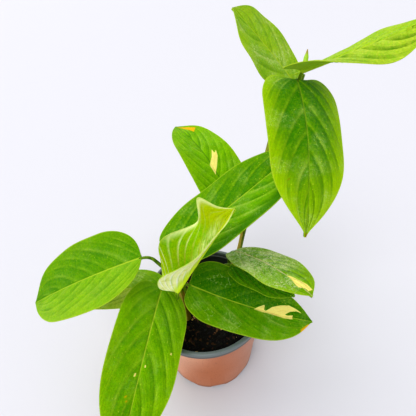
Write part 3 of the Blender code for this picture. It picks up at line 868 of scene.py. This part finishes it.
def blade_points(leaf, row, column):
    """Points of the blade. row runs from base to tip, column from -1 (left margin) to 1."""
    reach = np.abs(column)
    place = blade_place(leaf, row, column)
    hold = (1.0 - row) ** leaf.ease

    def halves(pair):
        return np.where(column > 0, pair[1], pair[0])

    def eased(angles):
        left = angles[1] + (angles[0] - angles[1]) * hold
        return halves((left, angles[3] + (angles[2] - angles[3]) * hold))

    broader = halves(leaf.flare) * row / FLARE_PLACE * np.exp(1.0 - row / FLARE_PLACE)
    width = half_width(leaf, row) * (1.0 + broader)
    width = width + leaf.bulge[1] * leaf.width / 2.0 * left_bulge(row, column)
    fold = np.radians(eased(leaf.fold))
    curl = eased(leaf.curl)
    bend = np.radians(np.where(np.abs(curl) < LEAST_CURL, LEAST_CURL, curl))
    sideways = (np.sin(fold + bend * reach) - np.sin(fold)) / bend * width * np.sign(column)
    height = (np.cos(fold) - np.cos(fold + bend * reach)) / bend * width
    swell = halves(leaf.wave)
    start = np.radians(halves(leaf.wave_start))
    margin = reach ** 2.2 * np.sqrt(np.sin(math.pi * np.clip(row, 0.0, 1.0)))
    height = height + swell * margin * np.sin(2.0 * math.pi * leaf.waves * row + start)
    share, places, along, across, out = midrib(leaf)

    def at(values):
        return np.stack([np.interp(place, share, values[:, k]) for k in range(3)], axis=-1)

    behind = np.minimum(place, 0.0) * leaf.length
    points = (at(places) + behind[..., None] * along[0] + sideways[..., None] * at(across)
              + height[..., None] * at(out))
    return points, place, width * column


def inside_distance(outlines, across, along):
    """Distance to the nearest outline in mm, positive inside it, for points on a flat blade."""
    best = np.full(across.shape, -50.0)
    spot = np.stack([across, along], axis=-1)
    for outline in outlines:
        corners = np.array(outline, dtype=float)
        least = np.full(across.shape, 1e9)
        inside = np.zeros(across.shape, dtype=bool)
        for first, last in zip(corners, np.roll(corners, -1, axis=0)):
            side = last - first
            share = np.clip(((spot - first) @ side) / (side @ side), 0.0, 1.0)
            least = np.minimum(least, np.linalg.norm(
                spot - first - share[..., None] * side, axis=-1))
            crosses = (first[1] > along) != (last[1] > along)
            meets = first[0] + (along - first[1]) * side[0] / (side[1] or 1e-9)
            inside ^= crosses & (across < meets)
        best = np.maximum(best, np.where(inside, least, -least))
    return best


def facing(points):
    """Unit normals of a grid of points, towards the upper side."""
    down, over = np.gradient(points, axis=0), np.gradient(points, axis=1)
    normal = np.cross(over, down)
    return normal / np.maximum(np.linalg.norm(normal, axis=-1, keepdims=True), 1e-9)


def make_blade(leaf, groups):
    """A blade: a grid bent to the leaf's form, with its relief, its thickness and two sides."""
    bpy.ops.mesh.primitive_grid_add(x_subdivisions=COLUMNS, y_subdivisions=ROWS, size=2.0)
    blade = bpy.context.object
    blade.name = leaf.name + "_blade"
    mesh = blade.data
    mesh.name = blade.name
    flat = np.zeros(len(mesh.vertices) * 3)
    mesh.vertices.foreach_get("co", flat)
    flat = flat.reshape(ROWS + 1, COLUMNS + 1, 3)
    column = np.sign(flat[..., 0]) * np.abs(flat[..., 0]) ** COLUMN_CROWDING
    level = (flat[..., 1] + 1.0) / 2.0
    row = 0.55 * level + 0.45 * (1.0 - np.cos(math.pi * level)) / 2.0
    points, place, pressed = blade_points(leaf, row, column)
    points = points + relief(leaf, place, column)[..., None] * facing(points)
    mesh.vertices.foreach_set("co", (points * MM).ravel())
    for uv in list(mesh.uv_layers):
        mesh.uv_layers.remove(uv)
    corners = np.zeros(len(mesh.loops), dtype=int)
    mesh.loops.foreach_get("vertex_index", corners)
    maps = {
        "course": ((column + 1.0) / 2.0, place),
        "pressed": (pressed / PRESSED_SPAN + 0.5, place * leaf.length / PRESSED_SPAN),
    }
    for name, (first, second) in maps.items():
        values = np.stack([first.ravel()[corners], second.ravel()[corners]], axis=-1)
        mesh.uv_layers.new(name=name).data.foreach_set("uv", values.ravel())
    for name in ("cream", "scorch", "rings"):
        outlines = getattr(leaf, name)
        if outlines:
            keep_values(mesh, name, inside_distance(outlines, pressed, place * leaf.length))
    ribs = blade.vertex_groups.new(name="rib")
    narrow = 1.3 - 0.9 * row.ravel()
    weights = np.exp(-(pressed.ravel() / narrow) ** 2)
    for index in np.flatnonzero(weights > 0.01):
        ribs.add([int(index)], float(weights[index]), "REPLACE")
    mesh.materials.append(leaf_upper(leaf, groups))
    mesh.materials.append(leaf_lower(leaf, groups))
    skin = blade.modifiers.new("thickness", "SOLIDIFY")
    skin.thickness = looks().leaf.thickness
    skin.offset = -1.0
    skin.vertex_group = "rib"
    skin.thickness_vertex_group = looks().leaf.thin
    skin.material_offset = 1
    apply_modifier(blade, skin)
    smooth(blade, 60)
    hand_over(blade, leaf.slot, leaf.name)


# Stems


def bezier_tube(name, points, radii, straight=0, resolution=6, sides=6):
    """A bevelled curve through points, with a radius at each; the first ones may be straight."""
    bpy.ops.curve.primitive_bezier_curve_add()
    obj = bpy.context.object
    obj.name = name
    data = obj.data
    data.bevel_depth = MM
    data.bevel_resolution = sides
    data.resolution_u = resolution
    data.use_fill_caps = True
    knots = data.splines[0].bezier_points
    knots.add(len(points) - len(knots))
    for index, (knot, place, radius) in enumerate(zip(knots, points, radii)):
        knot.co = Vector(place) * MM
        knot.radius = radius
        kind = "VECTOR" if index < straight else "AUTO"
        knot.handle_left_type = kind
        knot.handle_right_type = kind
    bpy.context.view_layer.update()
    middle = []
    for first, last in zip(knots, knots[1:]):
        middle += interpolate_bezier(first.co, first.handle_right, last.handle_left, last.co, 12)
    activate(obj)
    bpy.ops.object.convert(target="MESH")
    obj = bpy.context.object
    bpy.ops.object.mode_set(mode="EDIT")
    bpy.ops.mesh.select_all(action="SELECT")
    bpy.ops.mesh.remove_doubles(threshold=0.00001)
    bpy.ops.mesh.normals_make_consistent(inside=False)
    bpy.ops.object.mode_set(mode="OBJECT")
    return obj, middle


def mark_sides(stem, middle):
    """Stores on the shoot how far left a point lies, from -1 to 1, and how near the shoot it is."""
    line = np.array([tuple(point) for point in middle])
    count = len(stem.data.vertices)
    spots = np.zeros(count * 3)
    stem.data.vertices.foreach_get("co", spots)
    spots = spots.reshape(count, 3)
    gaps = np.linalg.norm(spots[:, None, :] - line[None, :, :], axis=-1)
    left = (line[gaps.argmin(axis=1)] - spots) @ np.array([0.94, 0.34, 0.0]) / (2.6 * MM)
    keep_values(stem.data, "left", left)
    near = (4.2 * MM - gaps.min(axis=1)) / (0.6 * MM)
    keep_values(stem.data, "shoot", np.clip(near, 0.0, 1.0))


def stem_material(name, ripe, streak_scale, young):
    """Green stem tissue that ripens to tan, with fine lengthwise streaks and leaf scars."""
    shades = looks().stem
    paint = Paint(name)
    here = paint.here()
    stretched = put(paint.tree, "ShaderNodeMapping",
                    {"Vector": here, "Scale": (1.0, 1.0, 0.12)})[0]
    streaks = stretched.grain(streak_scale, 4.0, 0.6)
    spots = here.grain(160.0, 3.0, 0.6)
    old = here.axes()[2].ramp(*young, 1.0, 0.15) * paint.kept("shoot")
    paint.colour = paint.mix(streaks.ramp(0.35, 0.65), shades.olive, shades.fresh)
    paint.lay(old * ripe, RIPE_BARK)
    # Tan on the old shoot's left side: partly its ripe colour, partly painted light
    paint.lay((paint.kept("left") + streaks * 1.4).ramp(1.00, 1.35) * old, shades.tan)
    paint.lay(spots.ramp(0.6, 0.75) * 0.3, shades.olive)
    return paint.finish(spots * 0.25 + 0.32, (streaks, 0.4, 0.0003),
                        {"Specular IOR Level": 0.12})


def stalk_points(leaf, way, stalk_angle):
    """The course of a leaf's stalk, up to and a little into the blade's midrib."""
    along, _, upper = unit_vectors(np.radians([float(leaf.heading)]),
                                   np.radians([float(leaf.rise)]))
    below = math.radians(stalk_angle)
    arrival = math.cos(below) * along[0] + math.sin(below) * upper[0]
    seat = np.array(leaf.base) - 1.1 * upper[0]
    inside = seat + 3.0 * along[0] - 0.1 * upper[0]
    return [*way, tuple(seat - 8.0 * arrival), tuple(seat), tuple(inside)]


def make_stem(name, points, radii, stalks, surface, slot):
    """One stem with its leaf stalks, joined into one piece."""
    grown = {leaf.name: leaf for leaf in LEAVES}
    thin = looks().stem.stalk / MM
    stem, middle = bezier_tube(name + "_shoot", points, radii, straight=2, resolution=8)
    for leaf_name, (way, stalk_angle) in stalks.items():
        course = stalk_points(grown[leaf_name], way, stalk_angle)
        taper = [*np.linspace(STALK_START, thin, len(course) - 1), STALK_END]
        stalk, _ = bezier_tube(leaf_name + "_stalk", course, taper)
        combine(stem, stalk, "UNION")
    mark_sides(stem, middle)
    dress(stem, surface)
    smooth(stem, 50)
    hand_over(stem, slot, name)


def make_stems():
    x, y = FRONT_FOOT
    make_stem(
        "stem_front",
        [(x, y, FOOT_HEIGHT), (x, y, SOIL_TOP), (x - 1, y + 3, 108), (x - 3, y + 8, 124)],
        [3.6, 3.6, 3.4, 2.8],
        {
            "leaf_front": ([(x, y + 1, 98), (x - 8, y + 12, 124)], 25),
            "leaf_right": ([(x, y + 1, 100), (x - 3, y + 9, 134), (x - 3, y + 6, 152)], 25),
            "leaf_left": ([(x, y + 2, 104), (x - 8, y + 12, 136), (x - 20, y + 11, 168)], 25),
            "leaf_low": ([(x, y, 94), (x - 8, y + 10, 116)], 25),
            "leaf_diagonal": ([(x, y + 2, 106), (x - 8, y + 12, 150)], 25),
            "leaf_new": ([(x, y + 2, 106), (x + 1, y + 8, 132), (x - 2, y - 4, 154)], 25),
        },
        stem_material("front_stem", 0.6, 300.0, (0.125, 0.14)), "front_stem")
    x, y = BACK_FOOT
    make_stem(
        "stem_back",
        [(x, y, FOOT_HEIGHT), (x, y, SOIL_TOP), (36, 39, 104), (43, 42, 127), (48, 43, 155),
         (54, 45, 180), (66, 56, 205), (74, 70, 226), (82, 80, 250), (94, 92, 276),
         (110, 101, 288), (113, 103, 295)],
        [2.8, 2.8, 2.8, 2.7, 2.7, 2.6, 2.6, 2.5, 2.4, 2.2, 1.9, 1.8],
        {
            "leaf_grey": ([(x, y, 98), (x - 3, y - 9, 126)], 25),
            "leaf_under": ([(x, y, 94), (x - 6, y - 18, 122)], 25),
            "leaf_back": ([(47.5, 43, 152), (43.5, 43, 163)], 25),
            "leaf_top": ([(86, 84, 261), (100, 88, 280)], 25),
            "leaf_hanging": ([(78, 75, 238), (82, 69, 262), (89, 64, 286)], 65),
            "leaf_crown": ([(80, 77, 244), (86, 70, 266), (91, 63, 290)], 50),
        },
        stem_material("back_stem", 0.1, 260.0, (0.20, 0.25)), "back_stem")


def make_spear():
    """The rolled new leaf at the crown, yellow-green with a reddish tip."""
    shades = looks().leaf
    points = [(113.3, 103.4, 295.8), (113.6, 105, 301), (115.6, 109, 308), (117, 112, 314)]
    spear, _ = bezier_tube("spear_leaf", points, [1.6, 2.4, 2.2, 0.4], resolution=14, sides=8)
    paint = Paint("spear")
    here = paint.here()
    streaks = here.grain(900.0, 3.0, 0.6)
    top = here.axes()[2].ramp(SPEAR_TOP - 5.0 * MM, SPEAR_TOP - 1.0 * MM)
    paint.colour = paint.mix(streaks * 0.6, shades.gold, shades.green)
    paint.lay(top * 0.8, SPEAR_TIP)
    dress(spear, paint.finish(0.4, (streaks, 0.3, 0.0002)))
    smooth(spear, 60)
    hand_over(spear, "spear", "spear")


# Pot


def turned(name, profile, steps):
    """A closed shell: a ring extruded and resized along (radius, height) pairs, closed at its ends."""
    first, height = profile[0]
    bpy.ops.mesh.primitive_circle_add(vertices=steps, radius=first, location=(0, 0, 0),
                                      fill_type="NOTHING")
    piece = bpy.context.object
    piece.name = name
    bpy.ops.object.mode_set(mode="EDIT")
    bpy.ops.mesh.select_all(action="SELECT")
    bpy.ops.transform.translate(value=(0, 0, height))
    bpy.ops.mesh.extrude_edges_move()
    bpy.ops.mesh.merge(type="CENTER")
    bpy.ops.object.mode_set(mode="OBJECT")
    shape = bmesh.new()
    shape.from_mesh(piece.data)
    rim = [v for v in shape.verts if math.hypot(v.co.x, v.co.y) > first / 2.0]
    for vert in shape.verts:
        vert.select = False
    for edge in shape.edges:
        edge.select = edge.verts[0] in rim and edge.verts[1] in rim
    shape.select_flush_mode()
    shape.to_mesh(piece.data)
    shape.free()
    activate(piece)
    bpy.ops.object.mode_set(mode="EDIT")
    bpy.ops.mesh.select_mode(type="EDGE")
    for (radius, height), (next_radius, next_height) in zip(profile, profile[1:]):
        bpy.ops.mesh.extrude_edges_move(
            TRANSFORM_OT_translate={"value": (0, 0, next_height - height)})
        share = next_radius / radius
        bpy.ops.transform.resize(value=(share, share, 1.0), center_override=(0, 0, next_height))
    bpy.ops.mesh.extrude_edges_move()
    bpy.ops.mesh.merge(type="CENTER")
    bpy.ops.mesh.select_all(action="SELECT")
    bpy.ops.mesh.normals_make_consistent(inside=False)
    bpy.ops.object.mode_set(mode="OBJECT")
    return piece


def arc(centre, radius, first, last, count):
    """Points (radius, height) on an arc, from one angle to another, in degrees."""
    angles = np.radians(np.linspace(first, last, count))
    return [(centre[0] + radius * math.cos(a), centre[1] + radius * math.sin(a)) for a in angles]


def pot_profile():
    """The pot's section, from under its middle up the outside, over the rim and down inside."""
    sizes = looks().pot
    wall = sizes.wall
    band = POT_TOP - sizes.band
    foot = sizes.base - FOOT_WIDTH
    side = sizes.base + (sizes.shoulder - sizes.base) * MIDDLE_HEIGHT / (band - 1.0 * MM)
    bore = POT_RIM - BORE_INSET
    floor = FLOOR_LIFT + wall
    return [
        (PAD_RADIUS * 0.98, 0.0), (PAD_RADIUS + 2.0 * MM, FLOOR_LIFT),
        (foot - 1.5 * MM, FLOOR_LIFT), (foot, 0.0),
        *arc((sizes.base - 1.3 * MM, 1.3 * MM), 1.3 * MM, -90, 0, 5),
        (side, MIDDLE_HEIGHT), (sizes.shoulder, band - 1.4 * MM),
        *arc((sizes.shoulder + 1.0 * MM, band - 1.4 * MM), 1.0 * MM, 180, 90, 4),
        *arc((POT_RIM - 1.0 * MM, band + 0.6 * MM), 1.0 * MM, -90, 0, 4),
        *arc((POT_RIM - 1.6 * MM, POT_TOP - 1.6 * MM), 1.6 * MM, 0, 90, 6),
        *arc((bore + 1.2 * MM, POT_TOP - 1.2 * MM), 1.2 * MM, 90, 180, 5),
        *arc((bore - 0.8 * MM, band + 1.6 * MM), 0.8 * MM, 0, -90, 4),
        (sizes.shoulder - wall, band + 0.4 * MM), (side - wall, MIDDLE_HEIGHT),
        (sizes.base - wall, floor + 1.0 * MM), (sizes.base - wall - 1.5 * MM, floor),
        (PAD_RADIUS, floor),
    ]


def plastic(name, colour, lit_colour, levels, lean, sheen, reflection, roughness, speckle, shine):
    """Moulded plastic with fine grain and speckles, that turns to a lit colour between two levels.

    The lit colour is painted light. lean tilts the levels to the left, sheen is how pale it is where
    it is seen aslant, as painted sheen, and reflection how grey its right side is, as a painted
    reflection. Towards the bottom it darkens as painted shade.
    """
    paint = Paint(name)
    here = paint.here()
    axes = here.axes()
    broad = here.grain(22.0, 3.0)
    span = levels[1] - levels[0]
    level = axes[2] + broad * (0.5 * span) - axes[0] * (lean * span)
    aslant = put(paint.tree, "ShaderNodeLayerWeight", {"Blend": 0.5})["Facing"]
    pale = level.ramp(*levels, 0.0, 0.85).maths(
        "ADD", aslant.ramp(0.50, 0.95, 0.0, sheen), clamp=True)
    paint.colour = paint.mix(pale, colour, lit_colour)
    # A painted reflection greys the right side
    paint.lay(axes[0].ramp(-0.01, 0.08, 0.0, reflection), SKY_REFLECTION)
    dark = tuple(0.35 * c for c in colour)
    # Painted shade near the floor, darker towards the bottom
    paint.lay(axes[2].ramp(0.0, 9.0 * MM, 0.5, 0.0), dark)
    paint.lay(here.grain(560.0, 4.0, 0.7).ramp(0.57, 0.66, 0.0, speckle), dark)
    return paint.finish(broad * 0.15 + roughness, (here.grain(900.0, 3.0, 0.6), 0.25, 0.0001),
                        {"Specular IOR Level": shine})


def make_pot():
    """The pot: a turned shell with drain notches, terracotta outside and slate inside."""
    sizes = looks().pot
    pot = turned("pot_shell", pot_profile(), 180)
    spacing = 2.0 * math.pi / sizes.feet
    middle = sizes.base - FOOT_WIDTH / 2.0
    for index in range(sizes.feet):
        angle = (index + NOTCH_PHASE) * spacing
        bpy.ops.mesh.primitive_cylinder_add(vertices=40, radius=1.0, depth=1.0)
        notch = bpy.context.object
        notch.scale = (FLOOR_LIFT, NOTCH_HALF * spacing * sizes.base, 12.0 * MM)
        notch.rotation_euler = (0.0, math.pi / 2.0, angle)
        notch.location = (middle * math.cos(angle), middle * math.sin(angle), -NOTCH_DROP)
        place_in_mesh(notch)
        combine(pot, notch)
    # The clay: painted light on its upper left, painted sheen aslant, a painted reflection on its
    # right
    clay = plastic("pot_outside", sizes.clay, LIT_CLAY, (0.80 * POT_TOP, 2.10 * POT_TOP),
                   lean=16.0, sheen=0.28, reflection=0.45, roughness=0.36, speckle=0.35, shine=0.2)
    # The slate: lighter on the rim's top as painted light, darker below and inside as painted shade
    slate = plastic("pot_inside", DARK_SLATE, sizes.slate, (POT_TOP - 4.5 * MM, POT_TOP - 0.6 * MM),
                    lean=0.0, sheen=0.0, reflection=0.0, roughness=0.26, speckle=0.15, shine=0.6)
    dress(pot, clay, slate)
    band = POT_TOP - sizes.band
    for face in pot.data.polygons:
        centre = face.center
        radius = math.hypot(centre.x, centre.y)
        wall = sizes.base + (sizes.shoulder - sizes.base) * centre.z / band - sizes.wall * 0.5
        outer = centre.z < band - 0.6 * MM and (radius > wall or centre.z < FLOOR_LIFT + 0.2 * MM)
        face.material_index = 0 if outer else 1
    smooth(pot, 40)
    hand_over(pot, "pot", "pot")


# Soil


def soil_material():
    """Moist dark mix with fibres and brown bits."""
    shades = looks().soil
    paint = Paint("soil_mix")
    here = paint.here()
    fine = here.grain(420.0, 6.0, 0.7)
    _, random_values = here.cells(420.0)
    dry = tuple(2.6 * c for c in shades.peat)
    paint.colour = paint.mix(fine.ramp(0.35, 0.75), shades.peat, dry)
    paint.lay(random_values[0].maths("GREATER_THAN", 0.86) * 0.35, shades.bark)
    return paint.finish(0.9, (fine, 0.8, 0.001), {"Specular IOR Level": 0.25})


def soil_height(x, y):
    """Height of the soil's surface in metres, with its lumps."""
    spot = Vector((x, y, 0.0))
    lump = noise.noise(spot / 0.011) + 0.5 * noise.noise(spot / 0.005)
    crumb = 0.45 * noise.noise(spot / 0.0022) + 0.3 * noise.noise(spot / 0.0011)
    return SOIL_TOP * MM + looks().soil.lumps * (lump + crumb)


def make_soil():
    """The soil: a plug with a lumpy surface and plain holes for the stems."""
    sizes = looks().pot
    floor = SOIL_LOW.z
    side = SOIL_HIGH.x
    top = SOIL_TOP * MM
    low = sizes.base - sizes.wall - SOIL_GAP
    profile = [(low * 0.3, floor), (low - 1.6 * MM, floor), (low, floor + 1.6 * MM),
               (side, top - 1.5 * MM)]
    profile += [(side * share, top) for share in np.linspace(0.985, 0.02, 90)]
    soil = turned("soil_plug", profile, 220)
    for foot, radius in ((FRONT_FOOT, 4.1), (BACK_FOOT, 3.3)):
        bpy.ops.mesh.primitive_cylinder_add(
            vertices=32, radius=radius * MM, depth=2.0 * HOLE_DEPTH * MM,
            location=(foot[0] * MM, foot[1] * MM, top))
        combine(soil, bpy.context.object)
    for vertex in soil.data.vertices:
        spot = vertex.co
        if spot.z > top - 0.5 * MM:
            ease = min(1.0, max(0.0, (side - math.hypot(spot.x, spot.y)) / (3.0 * MM)))
            spot.z = top + (soil_height(spot.x, spot.y) - top) * ease
    dress(soil, soil_material())
    smooth(soil, 60)
    hand_over(soil, "soil", "soil")
    make_crumbs(side)


def crumb_material():
    """Bark and peat crumbs, each with its own shade."""
    shades = looks().soil
    paint = Paint("soil_crumbs")
    here = paint.here()
    fine = here.grain(900.0, 4.0, 0.7)
    _, random_values = here.cells(110.0)
    paint.colour = paint.mix(random_values[0].ramp(0.84, 0.92), shades.peat, shades.bark)
    paint.lay(random_values[1].maths("GREATER_THAN", 0.91), GRIT)
    paint.lay(fine * 0.5, shades.peat)
    return paint.finish(0.85, (fine, 0.6, 0.0005))


def make_crumbs(side):
    """Loose crumbs scattered on the soil, as one piece."""
    draw = random.Random(7)
    bpy.ops.mesh.primitive_ico_sphere_add(subdivisions=1, radius=1.0)
    seed = bpy.context.object
    shape = bmesh.new()
    pattern = bmesh.new()
    pattern.from_mesh(seed.data)
    for index in range(looks().soil.crumbs):
        radius = (side - 2.0 * MM) * math.sqrt(draw.random())
        angle = 2.0 * math.pi * draw.random()
        x, y = radius * math.cos(angle), radius * math.sin(angle)
        size = MM * (0.35 + 1.1 * draw.random() ** 3)
        turn = Matrix.Rotation(draw.uniform(0, math.pi), 3, "Z") @ Matrix.Rotation(
            draw.uniform(-0.5, 0.5), 3, "X")
        stretch = Vector((draw.uniform(0.8, 2.2), draw.uniform(0.6, 1.1), draw.uniform(0.4, 0.8)))
        if any(math.hypot(x / MM - foot[0], y / MM - foot[1]) < 6.0
               for foot in (FRONT_FOOT, BACK_FOOT)):
            continue
        middle = Vector((x, y, soil_height(x, y) + 0.15 * size))
        made = {}
        for vert in pattern.verts:
            rough = 1.0 + 0.25 * noise.noise(vert.co * 1.7 + Vector((index, 0.0, 0.0)))
            made[vert.index] = shape.verts.new(
                middle + turn @ (vert.co * stretch * size * rough))
        for face in pattern.faces:
            shape.faces.new([made[vert.index] for vert in face.verts])
    shape.to_mesh(seed.data)
    shape.free()
    pattern.free()
    seed.name = "soil_bits"
    dress(seed, crumb_material())
    smooth(seed, 30)
    hand_over(seed, "soil")


# Stage


def make_floor():
    bpy.ops.mesh.primitive_plane_add(size=60.0, location=(0.0, 0.0, -0.0002))
    floor = bpy.context.object
    floor.name = "floor"
    dress(floor, Paint("floor", (*looks().stage.floor, 1.0)).finish(0.8))


def make_light(name, place, strength, spread, colour=(1.0, 1.0, 1.0)):
    """A far, wide softbox that shines from place towards the plant."""
    bpy.ops.object.light_add(type="SUN", location=place)
    lamp = bpy.context.object
    lamp.name = name
    lamp.data.energy = strength
    lamp.data.angle = math.radians(spread)
    lamp.data.color = colour
    lamp.rotation_euler = (-Vector(place)).to_track_quat("-Z", "Y").to_euler()


def make_camera():
    """The photograph's view, from the eye, pitch and roll."""
    view = looks().stage
    pitch, lean = view.pitch, view.roll
    ahead = Vector((0.0, math.cos(pitch), -math.sin(pitch)))
    down = Vector((0.0, -math.sin(pitch), -math.cos(pitch)))
    right = Vector((1.0, 0.0, 0.0))
    across = math.cos(lean) * right + math.sin(lean) * down
    below = -math.sin(lean) * right + math.cos(lean) * down
    bpy.ops.object.camera_add()
    camera = bpy.context.object
    camera.name = "photo_view"
    camera.data.lens = view.lens
    camera.data.sensor_width = SENSOR_WIDTH
    camera.data.clip_start = 0.01
    turn = Matrix((across, -below, -ahead)).transposed().to_4x4()
    camera.matrix_world = Matrix.Translation(Vector(view.eye)) @ turn
    bpy.context.scene.camera = camera


def make_world():
    scene = bpy.context.scene
    world = bpy.data.worlds.new("studio")
    scene.world = world
    world.use_nodes = True
    back = world.node_tree.nodes.get("Background") or world.node_tree.nodes.new(
        "ShaderNodeBackground")
    back.inputs["Color"].default_value = (0.94, 0.95, 1.0, 1.0)
    back.inputs["Strength"].default_value = 0.74
    scene.view_settings.view_transform = "Standard"
    scene.view_settings.look = "Medium High Contrast"


class PLANT_OT_pot(bpy.types.Operator):
    """Make the nursery pot"""

    bl_idname = "plant.pot"
    bl_label = "Pot"

    def execute(self, context):
        deselect()
        make_pot()
        return {"FINISHED"}


class PLANT_OT_soil(bpy.types.Operator):
    """Make the soil and its crumbs"""

    bl_idname = "plant.soil"
    bl_label = "Soil"

    def execute(self, context):
        deselect()
        make_soil()
        return {"FINISHED"}


class PLANT_OT_stems(bpy.types.Operator):
    """Make the two stems with their leaf stalks"""

    bl_idname = "plant.stems"
    bl_label = "Stems"

    def execute(self, context):
        deselect()
        make_stems()
        return {"FINISHED"}


class PLANT_OT_leaves(bpy.types.Operator):
    """Make the leaf blades and the rolled new leaf"""

    bl_idname = "plant.leaves"
    bl_label = "Leaves"

    def execute(self, context):
        deselect()
        groups = {"veins": vein_group(), "flecks": fleck_group()}
        for leaf in LEAVES:
            make_blade(leaf, groups)
        make_spear()
        return {"FINISHED"}


class PLANT_OT_stage(bpy.types.Operator):
    """Make the floor, the lights and the camera"""

    bl_idname = "plant.stage"
    bl_label = "Stage"

    def execute(self, context):
        deselect()
        make_floor()
        make_world()
        make_light("window", (-0.55, 0.55, 1.0), 1.0, 60.0, (1.0, 0.99, 0.97))
        make_light("fill", (-0.5, -0.7, 1.0), 1.1, 45.0, (0.96, 0.98, 1.0))
        make_camera()
        return {"FINISHED"}


class PLANT_PT_panel(bpy.types.Panel):
    """The plant's pieces and settings"""

    bl_idname = "PLANT_PT_panel"
    bl_label = "Potted Climbing Aroid"
    bl_space_type = "VIEW_3D"
    bl_region_type = "UI"
    bl_category = "Aroid"

    def draw(self, context):
        settings = context.scene.plant_looks
        parts = {"pot": settings.pot, "soil": settings.soil, "stems": settings.stem,
                 "leaves": settings.leaf, "stage": settings.stage}
        for name, group in parts.items():
            box = self.layout.box()
            box.operator("plant." + name)
            for prop in group.__annotations__:
                box.prop(group, prop)


CLASSES = [PotLooks, SoilLooks, StemLooks, LeafLooks, StageLooks, PlantLooks,
           PLANT_OT_pot, PLANT_OT_soil, PLANT_OT_stems, PLANT_OT_leaves, PLANT_OT_stage,
           PLANT_PT_panel]


def register():
    for item in CLASSES:
        bpy.utils.register_class(item)
    bpy.types.Scene.plant_looks = PointerProperty(type=PlantLooks)


def unregister():
    del bpy.types.Scene.plant_looks
    for item in reversed(CLASSES):
        bpy.utils.unregister_class(item)


def main():
    register()
    bpy.ops.plant.pot()
    bpy.ops.plant.soil()
    bpy.ops.plant.stems()
    bpy.ops.plant.leaves()
    bpy.ops.plant.stage()


if __name__ == "__main__":
    main()
